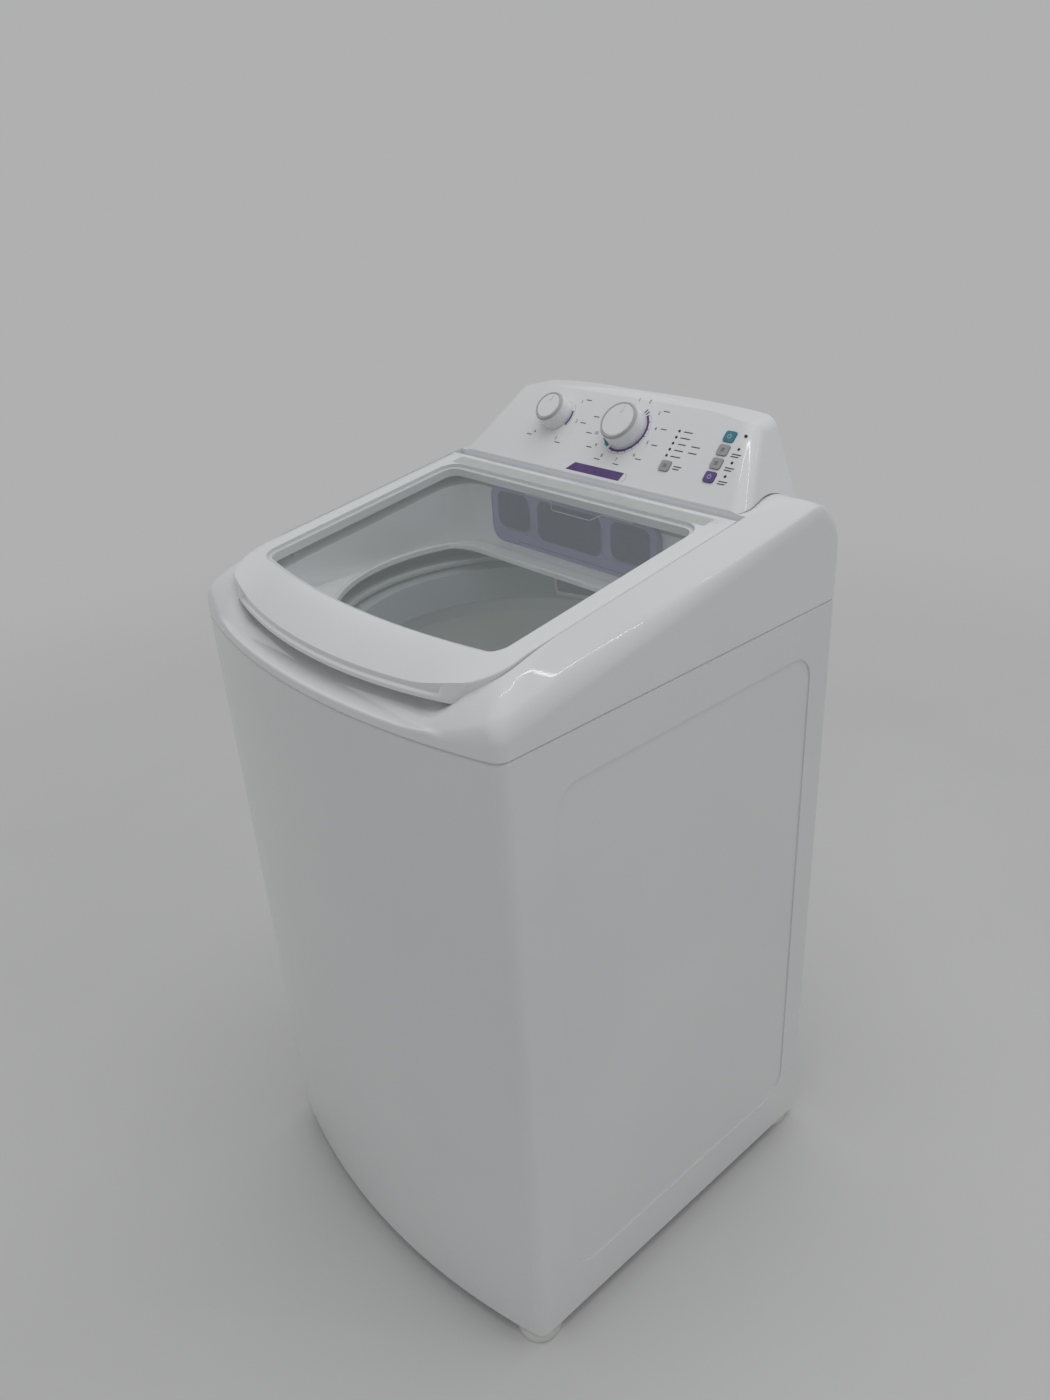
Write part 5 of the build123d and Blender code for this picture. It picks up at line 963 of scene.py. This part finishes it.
# The lid's window is a flush pane of clear glass with a faint grey green tint. It is glued into a step of the
# lid's frame.
GLASS_LOW = (0.66, 0.71, 0.70, 1)
GLASS_HIGH = (0.70, 0.75, 0.74, 1)
window_glass, tree, shader, place = new_finish("tinted_window")
mottle(tree, place, GLASS_LOW, GLASS_HIGH, 3.0, shader.inputs["Base Color"])
uneven_gloss(tree, place, 0.0, 0.03, 6.0, shader)
shader.inputs["Alpha"].default_value = 0.12
shader.inputs["IOR"].default_value = 1.45
coat_node(window_glass, "lid_glass")


# The studio is a pale grey floor that fades into a plain backdrop of the same tone, under soft light,
# with the camera where the photograph was taken.
BACKDROP = (0.43, 0.435, 0.43, 1)
FLOOR_LOW = (0.68, 0.685, 0.675, 1)
FLOOR_HIGH = (0.71, 0.715, 0.705, 1)
SKY_LIGHT = (0.63, 0.635, 0.64, 1)
SKY_STRENGTH = 0.66
FADE_START = 1.0
FADE_END = 3.0
FLOOR_HALF = 14.0


def seen_rays(tree):
    """One where a ray comes from the camera, a mirror or a pane, and nothing where it is light."""
    path = tree.nodes.new("ShaderNodeLightPath")
    total = path.outputs["Is Camera Ray"]
    for name in ("Is Glossy Ray", "Is Transmission Ray"):
        either = tree.nodes.new("ShaderNodeMath")
        either.operation = "MAXIMUM"
        tree.links.new(total, either.inputs[0])
        tree.links.new(path.outputs[name], either.inputs[1])
        total = either.outputs[0]
    return total


floor_mesh = bpy.data.meshes.new("floor")
sheet = bmesh.new()
bmesh.ops.create_grid(sheet, x_segments=1, y_segments=1, size=FLOOR_HALF)
sheet.to_mesh(floor_mesh)
sheet.free()
floor = bpy.data.objects.new("floor", floor_mesh)
bpy.context.scene.collection.objects.link(floor)
floor_paint, tree, shader, place = new_finish("floor_paint")
mottle(tree, place, FLOOR_LOW, FLOOR_HIGH, 1.5, shader.inputs["Base Color"])
uneven_gloss(tree, place, 0.45, 0.55, 3.0, shader)
far = tree.nodes.new("ShaderNodeVectorMath")
far.operation = "LENGTH"
tree.links.new(place, far.inputs[0])
fade = tree.nodes.new("ShaderNodeMapRange")
fade.interpolation_type = "SMOOTHSTEP"
fade.inputs["From Min"].default_value = FADE_START
fade.inputs["From Max"].default_value = FADE_END
tree.links.new(far.outputs["Value"], fade.inputs["Value"])
share = tree.nodes.new("ShaderNodeMath")
share.operation = "MULTIPLY"
tree.links.new(fade.outputs["Result"], share.inputs[0])
tree.links.new(seen_rays(tree), share.inputs[1])
haze = tree.nodes.new("ShaderNodeEmission")
haze.inputs["Color"].default_value = BACKDROP
mixed = tree.nodes.new("ShaderNodeMixShader")
tree.links.new(share.outputs[0], mixed.inputs["Fac"])
tree.links.new(shader.outputs["BSDF"], mixed.inputs[1])
tree.links.new(haze.outputs["Emission"], mixed.inputs[2])
tree.links.new(mixed.outputs["Shader"], tree.nodes["Material Output"].inputs["Surface"])
floor_mesh.materials.append(floor_paint)

world = bpy.data.worlds.new("studio")
bpy.context.scene.world = world
world.use_nodes = True
tree = world.node_tree
sky = tree.nodes["Background"]
sky.inputs["Color"].default_value = SKY_LIGHT
sky.inputs["Strength"].default_value = SKY_STRENGTH
wall = tree.nodes.new("ShaderNodeBackground")
wall.inputs["Color"].default_value = BACKDROP
choice = tree.nodes.new("ShaderNodeMixShader")
tree.links.new(seen_rays(tree), choice.inputs["Fac"])
tree.links.new(sky.outputs["Background"], choice.inputs[1])
tree.links.new(wall.outputs["Background"], choice.inputs[2])
tree.links.new(choice.outputs["Shader"], tree.nodes["World Output"].inputs["Surface"])


def soft_lamp(name, spot, aim, wide, long, power, mirrored_in_gloss):
    """A flat lamp that faces a point; a broad one lights the room and leaves no image in the gloss."""
    lamp = bpy.data.lights.new(name, "AREA")
    lamp.shape = "RECTANGLE"
    lamp.size = wide
    lamp.size_y = long
    lamp.energy = power
    holder = bpy.data.objects.new(name, lamp)
    holder.location = spot
    holder.rotation_euler = (Vector(aim) - Vector(spot)).to_track_quat("-Z", "Y").to_euler()
    holder.visible_glossy = mirrored_in_gloss
    bpy.context.scene.collection.objects.link(holder)


soft_lamp("ceiling", (0.3, 0.3, 3.2), (0, 0, 0.5), 2.4, 2.4, 21, False)
soft_lamp("tube_above", (1.05, 0.4, 3.2), (0.35, -0.2, 0.9), 0.02, 3.2, 2.2, True)
soft_lamp("tube_behind", (1.9, 1.9, 2.7), (0.25, -0.1, 0.9), 0.02, 1.2, 0.5, True)

CAMERA_SPOT = (0.912, -0.762, 1.3228)
YAW = radians(-49.41)
PITCH = radians(27.33)
ROLL = radians(-3.51)
SENSOR = 36.0
PHOTO_WIDTH = 1050
FOCAL_PIXELS = 1089.02
ahead = Vector((sin(YAW) * cos(PITCH), cos(YAW) * cos(PITCH), -sin(PITCH)))
level = Vector((cos(YAW), -sin(YAW), 0))
upright = level.cross(ahead)
right = cos(ROLL) * level + sin(ROLL) * upright
up = cos(ROLL) * upright - sin(ROLL) * level
lens = bpy.data.cameras.new("photo_camera")
lens.sensor_fit = "HORIZONTAL"
lens.sensor_width = SENSOR
lens.lens = SENSOR * FOCAL_PIXELS / PHOTO_WIDTH
camera = bpy.data.objects.new("photo_camera", lens)
camera.matrix_world = Matrix.Translation(CAMERA_SPOT) @ Matrix((right, up, -ahead)).transposed().to_4x4()
bpy.context.scene.collection.objects.link(camera)
bpy.context.scene.camera = camera
bpy.context.scene.view_settings.view_transform = "Standard"
